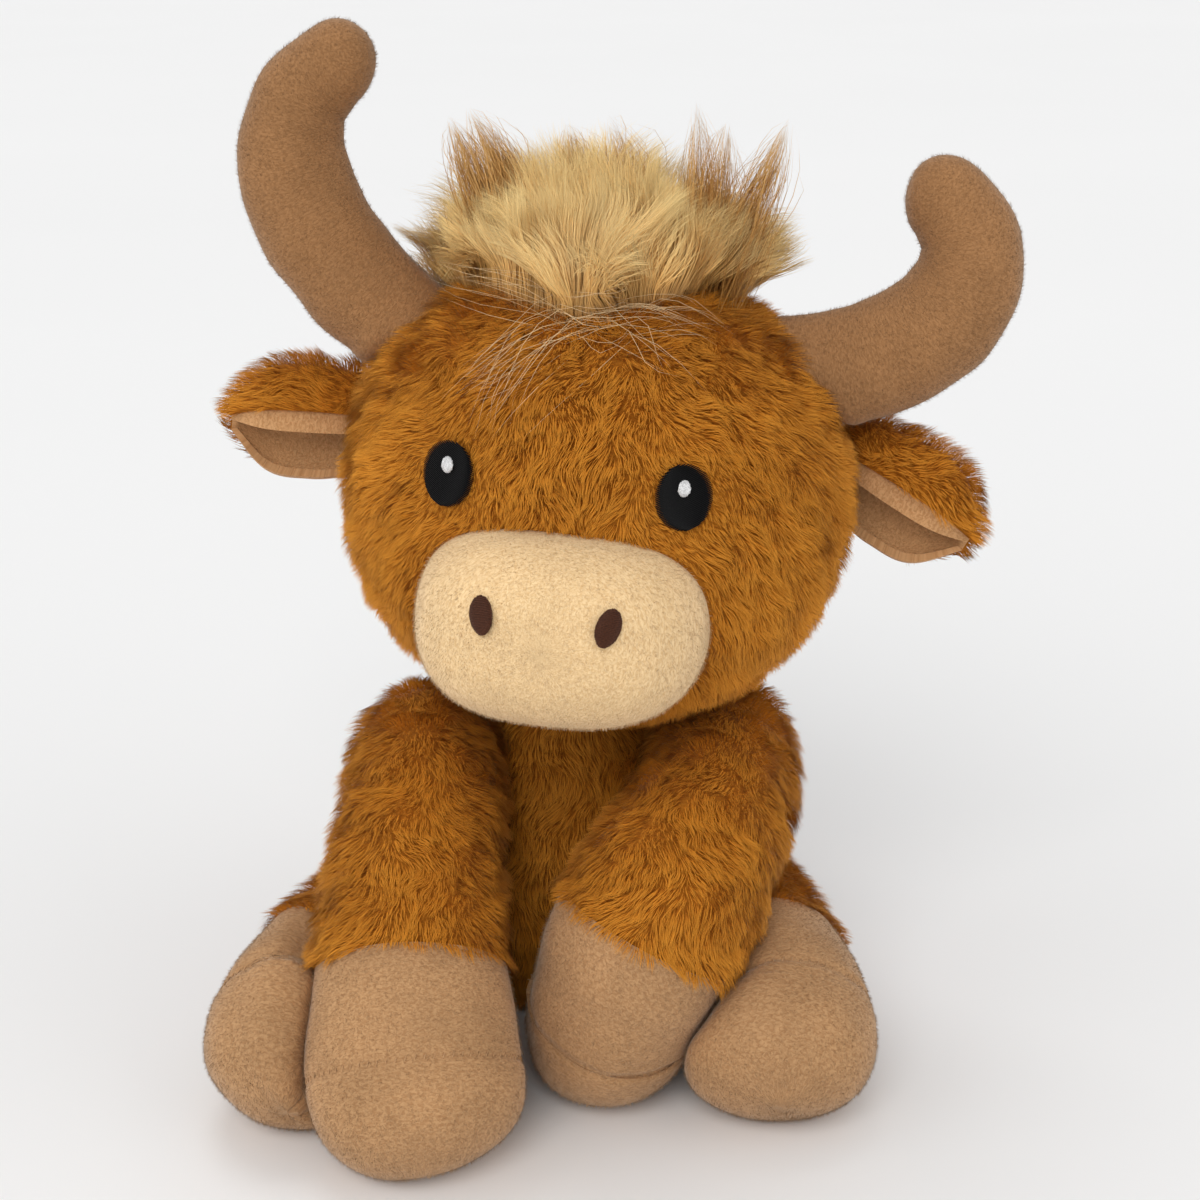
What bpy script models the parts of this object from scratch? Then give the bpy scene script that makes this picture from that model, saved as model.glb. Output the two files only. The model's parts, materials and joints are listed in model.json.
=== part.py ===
"""Plush cow that sits on the floor: sewn covers over stuffing, with legs, ears, head and tail that move.

The cow faces -Y, its own left side is at +X, and it sits on Z = 0 with the middle of its seat near the
origin.
"""

import math

import bmesh
import bpy
import numpy as np
from mathutils import Matrix, Vector
from mathutils.bvhtree import BVHTree

# Cloth and clearances
COVER_WALL = 0.002
SEWN_GAP = 0.0003
SOCKET_GAP = 0.0010
PRESS_GAP = 0.0024
CUT_OVERRUN = 0.004
EMBROIDERY_HEIGHT = 0.0007

# Torso, from the floor up to the round top that the head turns on
TORSO_HEIGHT = 0.094
TORSO_HALF_WIDTH = 0.050
TORSO_HALF_DEPTH = 0.045
TORSO_BACK_SHIFT = 0.014
NECK_RADIUS = 0.031
SEAT_SINK = 0.002
TORSO_LEVEL_SHARES = (0.23, 0.53, 0.79)
TORSO_WIDTH_SHARES = (0.76, 1, 0.96, 0.76)
TORSO_DEPTH_SHARES = (0.76, 1, 0.98, 0.82)

# Head, in its own turned frame, where -Y is the way that it faces
HEAD_HALF_WIDTH = 0.0755
HEAD_HALF_DEPTH = 0.060
HEAD_HALF_HEIGHT = 0.066
HEAD_PLACE_SHARES = (0.08, -0.37, 1.15)
HEAD_ROLL = math.radians(3.5)
HEAD_TURN = math.radians(-7)
HEAD_PITCH = math.radians(-6)
HEAD_CHIN_TAPER_SHARE = 0.06
HEAD_ROUNDNESS = 2.25

# Muzzle, placed by shares of the head's half sizes
MUZZLE_PLACE_SHARES = (-0.025, -0.633, -0.41)
MUZZLE_HALF_WIDTH = 0.0415
MUZZLE_HALF_HEIGHT = 0.0285
MUZZLE_DEPTH = 0.050
MUZZLE_SQUARENESS = 2.7
MUZZLE_NOSE_ROUNDNESS = 2.5
NOSTRIL_HALF_WIDTH = 0.0033
NOSTRIL_HALF_HEIGHT = 0.0048
NOSTRIL_SPACING = 0.0335
NOSTRIL_RISE = 0.009
NOSTRIL_TILT = math.radians(12)

# Eyes, in the head's frame
EYE_HALF_WIDTH = 0.0078
EYE_HALF_HEIGHT = 0.0090
EYE_SPACING = 0.065
EYE_MIDDLE_X = -0.0030
EYE_HEIGHT = 0.0120
GLINT_HALF_WIDTH = 0.0016
GLINT_HALF_HEIGHT = 0.0023
GLINT_RISE = 0.0026

# Horns: the root in shares of the head's half sizes, the bends and the tip in shares of the horn's span
HORN_SPAN = 0.100
HORN_BASE_RADIUS = 0.0160
HORN_MIDDLE_RADIUS = 0.0170
HORN_TIP_RADIUS = 0.0112
RIGHT_HORN_ROOT_SHARES = (-0.715, 0.03, 0.61)
RIGHT_HORN_BEND_SHARES = ((-0.54, 0, 0.31), (-0.55, 0, 0.74), (-0.20, 0, 0.82))
LEFT_HORN_ROOT_SHARES = (0.66, 0.03, 0.61)
LEFT_HORN_BEND_SHARES = ((0.54, 0, 0.03), (0.69, 0, 0.48), (0.32, 0, 0.58))

# Ears: the joint in shares of the head's half sizes, and the outline from root to tip
EAR_LENGTH = 0.039
EAR_HALF_HEIGHT = 0.0195
EAR_CUP_HALF_DEPTH = 0.0120
EAR_ROOT_RADIUS_SHARE = 0.86
EAR_ALONG_SHARES = (0, 0.35, 0.78, 1)
EAR_OUTLINE_SHARES = (EAR_ROOT_RADIUS_SHARE, 0.95, 0.74, 0.20)
EAR_LAYER_SHARE = 0.20
EAR_CUP_START = math.radians(-80)
EAR_CUP_END = math.radians(200)
RIGHT_EAR_PIVOT_SHARES = (-1.010, 0.17, 0.18)
RIGHT_EAR_AIM = Vector((-1.0, -0.20, 0.0))
LEFT_EAR_PIVOT_SHARES = (1.03, 0.27, 0.165)
LEFT_EAR_AIM = Vector((0.86, -0.20, -0.42))

# Forelock, placed by shares of the head's half sizes
FORELOCK_PLACE_SHARES = (-0.053, 0.067, 0.91)
FORELOCK_HALF_WIDTH = 0.052
FORELOCK_HALF_DEPTH = 0.044
FORELOCK_HALF_HEIGHT = 0.040

# Legs: the root joint in shares of the torso's half sizes and height. The line's later points are in shares
# of the leg's reach, sideways and forwards from the joint, and of the joint's height above the floor
FORELEG_REACH = 0.102
FORELEG_ROOT_RADIUS = 0.0225
FORELEG_KNEE_RADIUS = 0.0245
FORELEG_HEM_RADIUS = 0.0280
FORE_HOOF_LENGTH = 0.058
FORE_CAP_LENGTH = 0.029
RIGHT_FORE_HOOF_HALF_WIDTH = 0.0310
RIGHT_FORE_HOOF_HALF_DEPTH = 0.0270
LEFT_FORE_HOOF_HALF_WIDTH = 0.0250
LEFT_FORE_HOOF_HALF_DEPTH = 0.0250
RIGHT_SHOULDER_SHARES = (-0.92, -0.53, 0.915)
RIGHT_FORELEG_BEND_SHARES = ((0, -0.31, 0.91), (-0.06, -0.65, 0.585), (0.05, -1, 0.035))
LEFT_SHOULDER_SHARES = (0.90, -0.53, 0.915)
LEFT_FORELEG_BEND_SHARES = ((0, -0.47, 0.975), (-0.36, -0.78, 0.70), (-0.37, -0.43, 0.035))
HIND_LEG_REACH = 0.104
HIND_LEG_ROOT_RADIUS = 0.0260
HIND_LEG_KNEE_RADIUS = 0.0260
HIND_LEG_HEM_RADIUS = 0.0270
HIND_HOOF_LENGTH = 0.052
HIND_CAP_LENGTH = 0.030
HIND_HOOF_HALF_WIDTH = 0.0305
HIND_HOOF_HALF_DEPTH = 0.0275
RIGHT_HIP_SHARES = (-0.80, -0.18, 0.32)
RIGHT_HIND_LEG_BEND_SHARES = ((-0.26, -0.33, 1.00), (-0.38, -0.66, 1.15), (-0.385, -0.99, 0.40))
LEFT_HIP_SHARES = (0.80, -0.18, 0.32)
LEFT_HIND_LEG_BEND_SHARES = ((0.14, -0.33, 1.00), (0.185, -0.65, 1.15), (0.165, -0.96, 0.40))
CAP_STRAIGHT_SHARE = 0.25

# How far the forelegs swing, which the torso leaves room for
RIGHT_FORELEG_SWINGS = (math.radians(10), math.radians(20))
LEFT_FORELEG_SWINGS = (math.radians(-5), math.radians(5))

SWING_GROWTH_SHARE = 0.01

# Tail
TAIL_HEIGHT_SHARE = 0.49
TAIL_RADIUS = 0.0075
TAIL_TIP_RADIUS = 0.0055
TAIL_ARCH = 0.018
TAIL_REACH = 0.038
TAIL_DROP_SHARE = 0.50
TUFT_LENGTH_SHARE = 0.42
TUFT_RADIUS = 0.0105
TUFT_ALONG_SHARES = (0, 0.35, 0.75, 1)
TUFT_WIDTH_SHARES = (0.5, 1, 0.75, 0.15)

# Facets round and along the soft forms
LEG_SIDES = 16
HORN_SIDES = 12
TORSO_SIDES = 20
HEAD_SIDES = 24
SMALL_SIDES = 12
NECK_ROOM_SIDES = 21
SMALL_ROOM_SIDES = 13
BALL_STEPS = 3
SLEEVE_STEPS = 5
CUFF_STEPS = 3
TOE_STEPS = 4
TORSO_STEPS = 9
BAG_STEPS = 2
DOME_STEPS = 4
HEAD_STEPS = 12
MUZZLE_STEPS = 5
HORN_STEPS = 7
EAR_STEPS = 5
EAR_ROOT_STEPS = 5
CUP_STEPS = 7
FORELOCK_STEPS = 8
TUFT_STEPS = 5
HALVINGS = 16
LINE_SAMPLES = 64
POLE_SHARE = 0.3
FRONT_SHARE = 0.9999
FLAT_END_ANGLE = math.radians(50)
FIRST_END = 0
LAST_END = 1

# Directions
SIDEWAYS = Vector((1, 0, 0))
BACKWARDS = Vector((0, 1, 0))
UPWARDS = Vector((0, 0, 1))


def remove_all_objects():
    """An empty scene to start from."""
    for old in list(bpy.data.objects):
        bpy.data.objects.remove(old)


def cloth(name, colour, roughness):
    """A plain cloth material."""
    made = bpy.data.materials.new(name)
    made.use_nodes = True
    shader = made.node_tree.nodes["Principled BSDF"]
    shader.inputs["Base Color"].default_value = (*colour, 1)
    shader.inputs["Roughness"].default_value = roughness
    shader.inputs["Metallic"].default_value = 0
    return made


def smooth_between(place, stations, sizes):
    """The size at a place between stations, on a smooth curve through the sizes."""
    slopes = np.gradient(np.array(sizes, float), np.array(stations, float))
    after = int(np.clip(np.searchsorted(stations, place), 1, len(stations) - 1))
    span = stations[after] - stations[after - 1]
    share = min(max((place - stations[after - 1]) / span, 0), 1)
    rest = 1 - share
    ends = sizes[after - 1] * (1 + 2 * share) * rest**2 + sizes[after] * (1 + 2 * rest) * share**2
    bends = slopes[after - 1] * share * rest**2 - slopes[after] * rest * share**2
    return ends + span * bends


def bezier_point(share, line):
    """The point at a share of a Bezier curve through any number of control points."""
    points = list(line)
    while len(points) > 1:
        points = [near.lerp(far, share) for near, far in zip(points, points[1:])]
    return points[0]


def oval_ring(middle, across, along, half_across, half_along, sides, roundness=2):
    """Points round an oval, from a true ellipse at roundness 2 to a squarer one above it."""
    ring = []
    for step in range(sides):
        angle = 2 * math.pi * step / sides
        cosine, sine = math.cos(angle), math.sin(angle)
        u = math.copysign(abs(cosine) ** (2 / roundness), cosine)
        v = math.copysign(abs(sine) ** (2 / roundness), sine)
        ring.append(middle + across * (half_across * u) + along * (half_along * v))
    return ring


def band(mesh, lower, upper):
    """Triangles between two rings, split the same way in every layer so that layers never cross."""
    for step in range(len(lower)):
        after = (step + 1) % len(lower)
        mesh.faces.new((lower[step], lower[after], upper[after]))
        mesh.faces.new((lower[step], upper[after], upper[step]))


def skin(mesh, rings):
    """One layer through rings of points, left open at both ends. Returns the first and the last ring."""
    loops = [[mesh.verts.new(point) for point in ring] for ring in rings]
    for lower, upper in zip(loops, loops[1:]):
        band(mesh, lower, upper)
    return loops[0], loops[-1]


def placed(name, mesh):
    """The object of a finished mesh, facing outwards."""
    bmesh.ops.recalc_face_normals(mesh, faces=mesh.faces)
    data = bpy.data.meshes.new(name)
    mesh.to_mesh(data)
    mesh.free()
    made = bpy.data.objects.new(name, data)
    bpy.context.scene.collection.objects.link(made)
    return made


def lid(mesh, ring):
    """Triangles from the middle of an end ring to its points."""
    middle = mesh.verts.new(sum((point.co for point in ring), Vector()) / len(ring))
    for step in range(len(ring)):
        mesh.faces.new((middle, ring[step], ring[(step + 1) % len(ring)]))


def flat_lid(mesh, ring):
    """One flat face on an end ring whose middle lies outside its outline."""
    mesh.faces.new(ring)


def solid(name, rings, closed_by=lid):
    """A full body through rings of points, closed at both ends."""
    mesh = bmesh.new()
    for end_ring in skin(mesh, rings):
        closed_by(mesh, end_ring)
    return placed(name, mesh)


def cover(name, outer, inner, closed_end=None):
    """A hollow cover of two layers, with a lid at its closed end and an open hem at any other."""
    mesh = bmesh.new()
    outer_ends = skin(mesh, outer)
    inner_ends = skin(mesh, inner)
    for end in (FIRST_END, LAST_END):
        if end == closed_end:
            lid(mesh, outer_ends[end])
            lid(mesh, inner_ends[end])
        else:
            band(mesh, outer_ends[end], inner_ends[end])
    return placed(name, mesh)


def finish(made, material):
    """Colour and smooth shading, with the wide flat ends left flat."""
    made.data.materials.clear()
    made.data.materials.append(material)
    made.data.shade_smooth()
    made.data.set_sharp_from_angle(angle=FLAT_END_ANGLE)
    return made


def as_cutter(made):
    """A helper that only cuts, and isn't part of the cow."""
    made.hide_render = True
    made.display_type = "WIRE"
    return made


def cut(made, *cutters):
    """Each cutter's volume taken out of the piece."""
    for cutter in cutters:
        boolean = made.modifiers.new(cutter.name, "BOOLEAN")
        boolean.operation = "DIFFERENCE"
        boolean.object = cutter
    return made


def keep_within(made, keeper):
    """Only the part of the piece that lies inside the keeper."""
    boolean = made.modifiers.new(keeper.name, "BOOLEAN")
    boolean.operation = "INTERSECT"
    boolean.object = keeper
    return made


def swung(room, pivot, axis, angles):
    """The room of a moving piece, with copies turned about its joint to each angle, each a little larger."""
    rooms = [room]
    for number, angle in enumerate(angles, 1):
        data = room.data.copy()
        turn = Matrix.Rotation(angle, 4, axis) @ Matrix.Scale(1 + SWING_GROWTH_SHARE * number, 4)
        data.transform(Matrix.Translation(pivot) @ turn @ Matrix.Translation(-pivot))
        turned = bpy.data.objects.new(room.name, data)
        bpy.context.scene.collection.objects.link(turned)
        rooms.append(as_cutter(turned))
    return rooms


def is_clear(point, neighbours):
    """Whether a point lies outside every neighbour, with room to press."""
    for surface in neighbours:
        nearest, normal, _, _ = surface.find_nearest(point)
        if (point - nearest).dot(normal) < PRESS_GAP:
            return False
    return True


def pressed_share(point, middle, neighbours):
    """How much of the way from the middle of a ring to its point stays clear of the neighbours."""
    if is_clear(point, neighbours):
        return 1.0
    near, far = 0.0, 1.0
    for _ in range(HALVINGS):
        halfway = (near + far) / 2
        if is_clear(middle.lerp(point, halfway), neighbours):
            near = halfway
        else:
            far = halfway
    return near


def surface_of(made):
    """The searchable surface of a piece."""
    mesh = bmesh.new()
    mesh.from_mesh(made.data)
    tree = BVHTree.FromBMesh(mesh)
    mesh.free()
    return tree


class Oval:
    """One oval of a limb, which can be drawn at any depth below the surface and gives way to its neighbours.

    For each unit of depth the middle moves by the sink, and the half sizes shrink by the thinning.
    """

    def __init__(self, middle, across, along, half_across, half_along, sides, sink=Vector(), thinning=1):
        self.middle = middle
        self.across = across
        self.along = along
        self.half_across = half_across
        self.half_along = half_along
        self.sides = sides
        self.sink = sink
        self.thinning = thinning
        self.shares = [1.0] * sides

    def free_points(self, inset):
        """The points before anything presses on them."""
        thinner = inset * self.thinning
        middle = self.middle + self.sink * inset
        half_across = self.half_across - thinner
        half_along = self.half_along - thinner
        return oval_ring(middle, self.across, self.along, half_across, half_along, self.sides)

    def give_way(self, neighbours):
        """Draws the points in towards the middle wherever a neighbour presses."""
        self.shares = [pressed_share(point, self.middle, neighbours) for point in self.free_points(0)]

    def points(self, inset):
        """The points of one layer, never lower than that layer's height above the floor."""
        middle = self.middle + self.sink * inset
        drawn = []
        for point, share in zip(self.free_points(inset), self.shares):
            place = middle.lerp(point, share)
            drawn.append(Vector((place.x, place.y, max(place.z, inset))))
        return drawn


def layer(ovals, inset):
    """The rings of one layer through a row of ovals."""
    return [oval.points(inset) for oval in ovals]


class Limb:
    """A stuffed limb round a bent centre line."""

    def __init__(self, line, side, sides):
        self.line = line
        self.side = side
        self.sides = sides
        samples = [bezier_point(step / LINE_SAMPLES, line) for step in range(LINE_SAMPLES + 1)]
        steps = [(far - near).length for near, far in zip(samples, samples[1:])]
        self.lengths = np.concatenate([[0], np.cumsum(steps)])
        self.length = float(self.lengths[-1])

    def set_sizes(self, stations, half_widths, half_depths):
        """Half widths and half depths at distances along the line."""
        self.stations = stations
        self.half_widths = half_widths
        self.half_depths = half_depths

    def axes(self, distance):
        """The point on the centre line, the line's direction, and the two directions across it."""
        share = float(np.interp(distance, self.lengths, np.linspace(0, 1, len(self.lengths))))
        reach = 1 / LINE_SAMPLES
        before = bezier_point(max(share - reach, 0), self.line)
        after = bezier_point(min(share + reach, 1), self.line)
        direction = (after - before).normalized()
        across = (self.side - direction * self.side.dot(direction)).normalized()
        return bezier_point(share, self.line), direction, across, direction.cross(across)

    def oval(self, distance):
        """The oval at a distance from the root joint."""
        point, _, across, along = self.axes(distance)
        half_width = smooth_between(distance, self.stations, self.half_widths)
        half_depth = smooth_between(distance, self.stations, self.half_depths)
        return Oval(point, across, along, half_width, half_depth, self.sides)

    def root_ball(self):
        """Ovals of the half ball behind the root joint."""
        point, direction, across, along = self.axes(0)
        radius = self.half_widths[0]
        ovals = []
        for step in range(BALL_STEPS):
            angle = math.pi / 2 * (step + POLE_SHARE) / BALL_STEPS
            back, spread = math.cos(angle), math.sin(angle)
            middle = point - direction * (radius * back)
            size = radius * spread
            ovals.append(Oval(middle, across, along, size, size, self.sides, direction * back, spread))
        return ovals

    def stretch(self, start, end, steps):
        """Ovals from one distance to another."""
        return [self.oval(float(at)) for at in np.linspace(start, end, steps + 1)]

    def toe(self, start, first=0):
        """Ovals of the rounded end, from a distance to the end of the centre line."""
        half_width = smooth_between(start, self.stations, self.half_widths)
        half_depth = smooth_between(start, self.stations, self.half_depths)
        ovals = []
        for step in range(first, TOE_STEPS):
            angle = math.pi / 2 * step / (TOE_STEPS - POLE_SHARE)
            onward, spread = math.sin(angle), math.cos(angle)
            point, direction, across, along = self.axes(start + (self.length - start) * onward)
            half_across, half_along = half_width * spread, half_depth * spread
            sink = -direction * onward
            ovals.append(Oval(point, across, along, half_across, half_along, self.sides, sink, spread))
        return ovals


def body_place(shares):
    """A place on the torso, from shares of its half width, half depth and height."""
    across, back, up = shares
    return Vector((TORSO_HALF_WIDTH * across, TORSO_BACK_SHIFT + TORSO_HALF_DEPTH * back, TORSO_HEIGHT * up))


def head_place(shares):
    """A place in the head's frame, from shares of its half sizes."""
    across, back, up = shares
    return Vector((HEAD_HALF_WIDTH * across, HEAD_HALF_DEPTH * back, HEAD_HALF_HEIGHT * up))


def leg_line(root, bend_shares, reach):
    """A leg's centre line from its root joint."""
    line = [root]
    for across, back, up in bend_shares:
        line.append(Vector((root.x + reach * across, root.y + reach * back, root.z * up)))
    return line


def leg(name, line, radii, hoof_sizes, hinge_poles, neighbours):
    """The pieces of a leg (plush sleeve, hoof cuff, hoof cap and stuffing), its room and its surface.

    The hinge poles are the points of the root oval on the hinge's axis. They stay in place as the leg turns,
    so the leg is seated there, and has room to press everywhere else.
    """
    root_radius, knee_radius, hem_radius = radii
    hoof_half_width, hoof_half_depth, hoof_length, cap_length = hoof_sizes
    shape = Limb(line, SIDEWAYS, LEG_SIDES)
    hem = shape.length - hoof_length
    seam = shape.length - cap_length
    widest = seam + CAP_STRAIGHT_SHARE * cap_length
    shape.set_sizes(
        (0, hem / 2, hem, seam, widest),
        (root_radius, knee_radius, hem_radius, hoof_half_width, hoof_half_width),
        (root_radius, knee_radius, hem_radius, hoof_half_depth, hoof_half_depth),
    )
    upper = shape.root_ball() + shape.stretch(0, hem, SLEEVE_STEPS)
    middle = shape.stretch(hem + SEWN_GAP, seam, CUFF_STEPS)
    lower = [shape.oval(seam + SEWN_GAP), *shape.toe(widest)]
    for oval in upper + middle + lower:
        oval.give_way(neighbours)
    middle[0].shares = upper[-1].shares
    lower[0].shares = middle[-1].shares
    whole = upper + middle[1:] + lower[1:]
    sleeve = cover(f"{name}_sleeve", layer(upper, 0), layer(upper, COVER_WALL), FIRST_END)
    cuff = cover(f"{name}_hoof_cuff", layer(middle, 0), layer(middle, COVER_WALL))
    cap = cover(f"{name}_hoof_cap", layer(lower, 0), layer(lower, COVER_WALL), LAST_END)
    filling = solid(f"{name}_stuffing", layer(whole, COVER_WALL + SEWN_GAP))
    hooves = [finish(cuff, HOOF_CLOTH), finish(cap, HOOF_CLOTH)]
    room_rings = layer(whole, -PRESS_GAP)
    seat = whole[BALL_STEPS].points(-SEWN_GAP)
    for pole in hinge_poles:
        room_rings[BALL_STEPS][pole] = seat[pole]
    room = as_cutter(solid(f"{name}_room", room_rings))
    outside = as_cutter(solid(f"{name}_outside", layer(whole, 0)))
    return [finish(sleeve, PLUSH), *hooves, finish(filling, STUFFING)], room, surface_of(outside)


def ball(name, middle, radius, sides):
    """A round helper, only used to cut."""
    steps = sides // 2
    rings = []
    for step in range(steps + 1):
        angle = math.pi * (step + POLE_SHARE) / (steps + 2 * POLE_SHARE) - math.pi / 2
        level = middle + UPWARDS * (radius * math.sin(angle))
        size = radius * math.cos(angle)
        rings.append(oval_ring(level, SIDEWAYS, BACKWARDS, size, size, sides))
    return as_cutter(solid(name, rings))


def torso_ring(height, inset):
    """The torso's oval at a height, raised to the floor where it sits."""
    half_width = smooth_between(height, TORSO_LEVELS, TORSO_HALF_WIDTHS) - inset
    half_depth = smooth_between(height, TORSO_LEVELS, TORSO_HALF_DEPTHS) - inset
    middle = Vector((0, TORSO_BACK_SHIFT, max(height, inset, 0)))
    return oval_ring(middle, SIDEWAYS, BACKWARDS, half_width, half_depth, TORSO_SIDES)


def neck_dome(inset):
    """Rings of the round top that the head turns on."""
    rings = []
    for step in range(1, DOME_STEPS + 1):
        angle = math.pi / 2 * step / (DOME_STEPS + POLE_SHARE)
        level = NECK_PIVOT + UPWARDS * ((NECK_RADIUS - inset) * math.sin(angle))
        size = (NECK_RADIUS - inset) * math.cos(angle)
        rings.append(oval_ring(level, SIDEWAYS, BACKWARDS, size, size, TORSO_SIDES))
    return rings


def torso_body(name, inset):
    """The whole torso up to its neck dome, a layer in from its outside."""
    return solid(name, [torso_ring(height, inset) for height in RING_HEIGHTS] + neck_dome(inset))


def torso(rooms):
    """Cover, pellet bag and stuffing of the torso, with room for what is set into it."""
    under = COVER_WALL + SEWN_GAP
    hollow = as_cutter(torso_body("torso_hollow", COVER_WALL))
    hide = cut(torso_body("torso_cover", 0), hollow, *rooms)
    bag_rings = [torso_ring(height, under) for height in RING_HEIGHTS[: BAG_STEPS + 1]]
    bag = cut(solid("pellet_bag", bag_rings), *rooms)
    bag_top = RING_HEIGHTS[BAG_STEPS]
    upper_heights = [bag_top + SEWN_GAP, *RING_HEIGHTS[BAG_STEPS + 1 :]]
    upper_rings = [torso_ring(height, under) for height in upper_heights] + neck_dome(under)
    stuffing = cut(solid("torso_stuffing", upper_rings), *rooms)
    return [finish(hide, PLUSH), finish(bag, BAG_CLOTH), finish(stuffing, STUFFING)]


def head_rings(inset):
    """The head's ovals from chin to crown, narrower towards the chin."""
    rings = []
    for step in range(HEAD_STEPS + 1):
        angle = math.pi * (step + POLE_SHARE) / (HEAD_STEPS + 2 * POLE_SHARE) - math.pi / 2
        rise = math.sin(angle)
        spread = math.cos(angle) ** (2 / HEAD_ROUNDNESS)
        narrowed = 1 - HEAD_CHIN_TAPER_SHARE * ((1 - rise) / 2) ** 2
        level = math.copysign(abs(rise) ** (2 / HEAD_ROUNDNESS), rise)
        middle = UPWARDS * ((HEAD_HALF_HEIGHT - inset) * level)
        half_width = (HEAD_HALF_WIDTH * narrowed - inset) * spread
        half_depth = (HEAD_HALF_DEPTH - inset) * spread
        rings.append(oval_ring(middle, SIDEWAYS, BACKWARDS, half_width, half_depth, HEAD_SIDES))
    return rings


def in_head(made):
    """A piece modelled in the head's own frame, turned with the head and set in its place."""
    made.data.transform(HEAD_FRAME)
    return made


def head_layer(name, inset):
    """The head's whole shape, a layer in from its outside or out from it."""
    return in_head(solid(name, head_rings(inset)))


def muzzle_ring(share, inset):
    """The muzzle's rounded outline, from its sewn edge at share 0 to its front at share 1."""
    spread = (1 - share**MUZZLE_NOSE_ROUNDNESS) ** (1 / MUZZLE_NOSE_ROUNDNESS)
    middle = MUZZLE_MIDDLE - BACKWARDS * ((MUZZLE_DEPTH - inset) * share)
    half_width = (MUZZLE_HALF_WIDTH - inset) * spread
    half_height = (MUZZLE_HALF_HEIGHT - inset) * spread
    return oval_ring(middle, SIDEWAYS, UPWARDS, half_width, half_height, HEAD_SIDES, MUZZLE_SQUARENESS)


def muzzle_rings(inset):
    """The muzzle's rings from its front to its sewn edge."""
    turns = [(step + POLE_SHARE) / (MUZZLE_STEPS + POLE_SHARE) for step in range(MUZZLE_STEPS + 1)]
    shares = [min(math.sin(math.pi / 2 * turn), FRONT_SHARE) for turn in reversed(turns)]
    return [muzzle_ring(share, inset) for share in [*shares, 0]]


def muzzle_layer(name, inset):
    """The muzzle's whole shape, a layer in from its outside or out from it."""
    return in_head(solid(name, muzzle_rings(inset)))


def patch(name, turn, middle, half_width, half_height, layer_of, inner, outer, reach):
    """A thin oval of stitching that lies on a layered shape, between an inner and an outer height."""
    across = Matrix.Rotation(turn, 4, BACKWARDS) @ SIDEWAYS
    up = Matrix.Rotation(turn, 4, BACKWARDS) @ UPWARDS
    ends = (middle - BACKWARDS * reach, middle - BACKWARDS * (reach / 2))
    rings = [oval_ring(end, across, up, half_width, half_height, SMALL_SIDES) for end in ends]
    made = in_head(solid(name, rings))
    keep_within(made, as_cutter(layer_of(f"{name}_top", -outer)))
    return cut(made, as_cutter(layer_of(f"{name}_bed", -inner)))


def muzzle():
    """The muzzle's cover and stuffing with its nostrils, and the room that it takes in the face."""
    hide = in_head(cover("muzzle_cover", muzzle_rings(0), muzzle_rings(COVER_WALL), FIRST_END))
    filling = muzzle_layer("muzzle_stuffing", COVER_WALL + SEWN_GAP)
    room = as_cutter(muzzle_layer("muzzle_room", -SEWN_GAP))
    pieces = [finish(hide, MUZZLE_CLOTH), finish(filling, STUFFING)]
    top = SEWN_GAP + EMBROIDERY_HEIGHT
    reach = MUZZLE_DEPTH + CUT_OVERRUN
    for side, word in ((-1, "right"), (1, "left")):
        middle = MUZZLE_MIDDLE + SIDEWAYS * (side * NOSTRIL_SPACING / 2) + UPWARDS * NOSTRIL_RISE
        sizes = (NOSTRIL_HALF_WIDTH, NOSTRIL_HALF_HEIGHT)
        tilt = side * NOSTRIL_TILT
        nostril = patch(f"{word}_nostril", tilt, middle, *sizes, muzzle_layer, SEWN_GAP, top, reach)
        pieces.append(finish(nostril, NOSTRIL_THREAD))
    return pieces, room


def eyes():
    """Two stitched eyes, each with a glint stitched on it."""
    pieces = []
    top = SEWN_GAP + EMBROIDERY_HEIGHT
    glint_bed = top + SEWN_GAP
    glint_top = glint_bed + EMBROIDERY_HEIGHT
    reach = HEAD_HALF_DEPTH + CUT_OVERRUN
    for side, word in ((-1, "right"), (1, "left")):
        middle = Vector((EYE_MIDDLE_X + side * EYE_SPACING / 2, 0, EYE_HEIGHT))
        sizes = (EYE_HALF_WIDTH, EYE_HALF_HEIGHT)
        eye = patch(f"{word}_eye", 0, middle, *sizes, head_layer, SEWN_GAP, top, reach)
        raised = middle + UPWARDS * GLINT_RISE
        sizes = (GLINT_HALF_WIDTH, GLINT_HALF_HEIGHT)
        glint = patch(f"{word}_eye_glint", 0, raised, *sizes, head_layer, glint_bed, glint_top, reach)
        pieces += [finish(eye, EYE_THREAD), finish(glint, GLINT_THREAD)]
    return pieces


def horn(word, root_shares, bend_shares, face):
    """Cover and stuffing of a horn, ending on the head's surface, and the room that it takes."""
    root = head_place(root_shares)
    line = [root, *[root + Vector(share) * HORN_SPAN for share in bend_shares]]
    shape = Limb(line, BACKWARDS, HORN_SIDES)
    radii = (HORN_BASE_RADIUS, HORN_MIDDLE_RADIUS, HORN_TIP_RADIUS)
    shape.set_sizes((0, shape.length / 2, shape.length), radii, radii)
    round_from = shape.length - HORN_TIP_RADIUS
    ovals = shape.toe(round_from, 1)[::-1] + shape.stretch(round_from, 0, HORN_STEPS)

    def rings(inset):
        """The horn's free rings from its tip to its base."""
        return [oval.free_points(inset) for oval in ovals]

    hide = in_head(cover(f"{word}_horn_cover", rings(0), rings(COVER_WALL), FIRST_END))
    filling = in_head(solid(f"{word}_horn_stuffing", rings(COVER_WALL + SEWN_GAP)))
    room = as_cutter(in_head(solid(f"{word}_horn_room", rings(-SEWN_GAP))))
    return [finish(cut(hide, face), HORN_CLOTH), finish(cut(filling, face), STUFFING)], room


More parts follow.
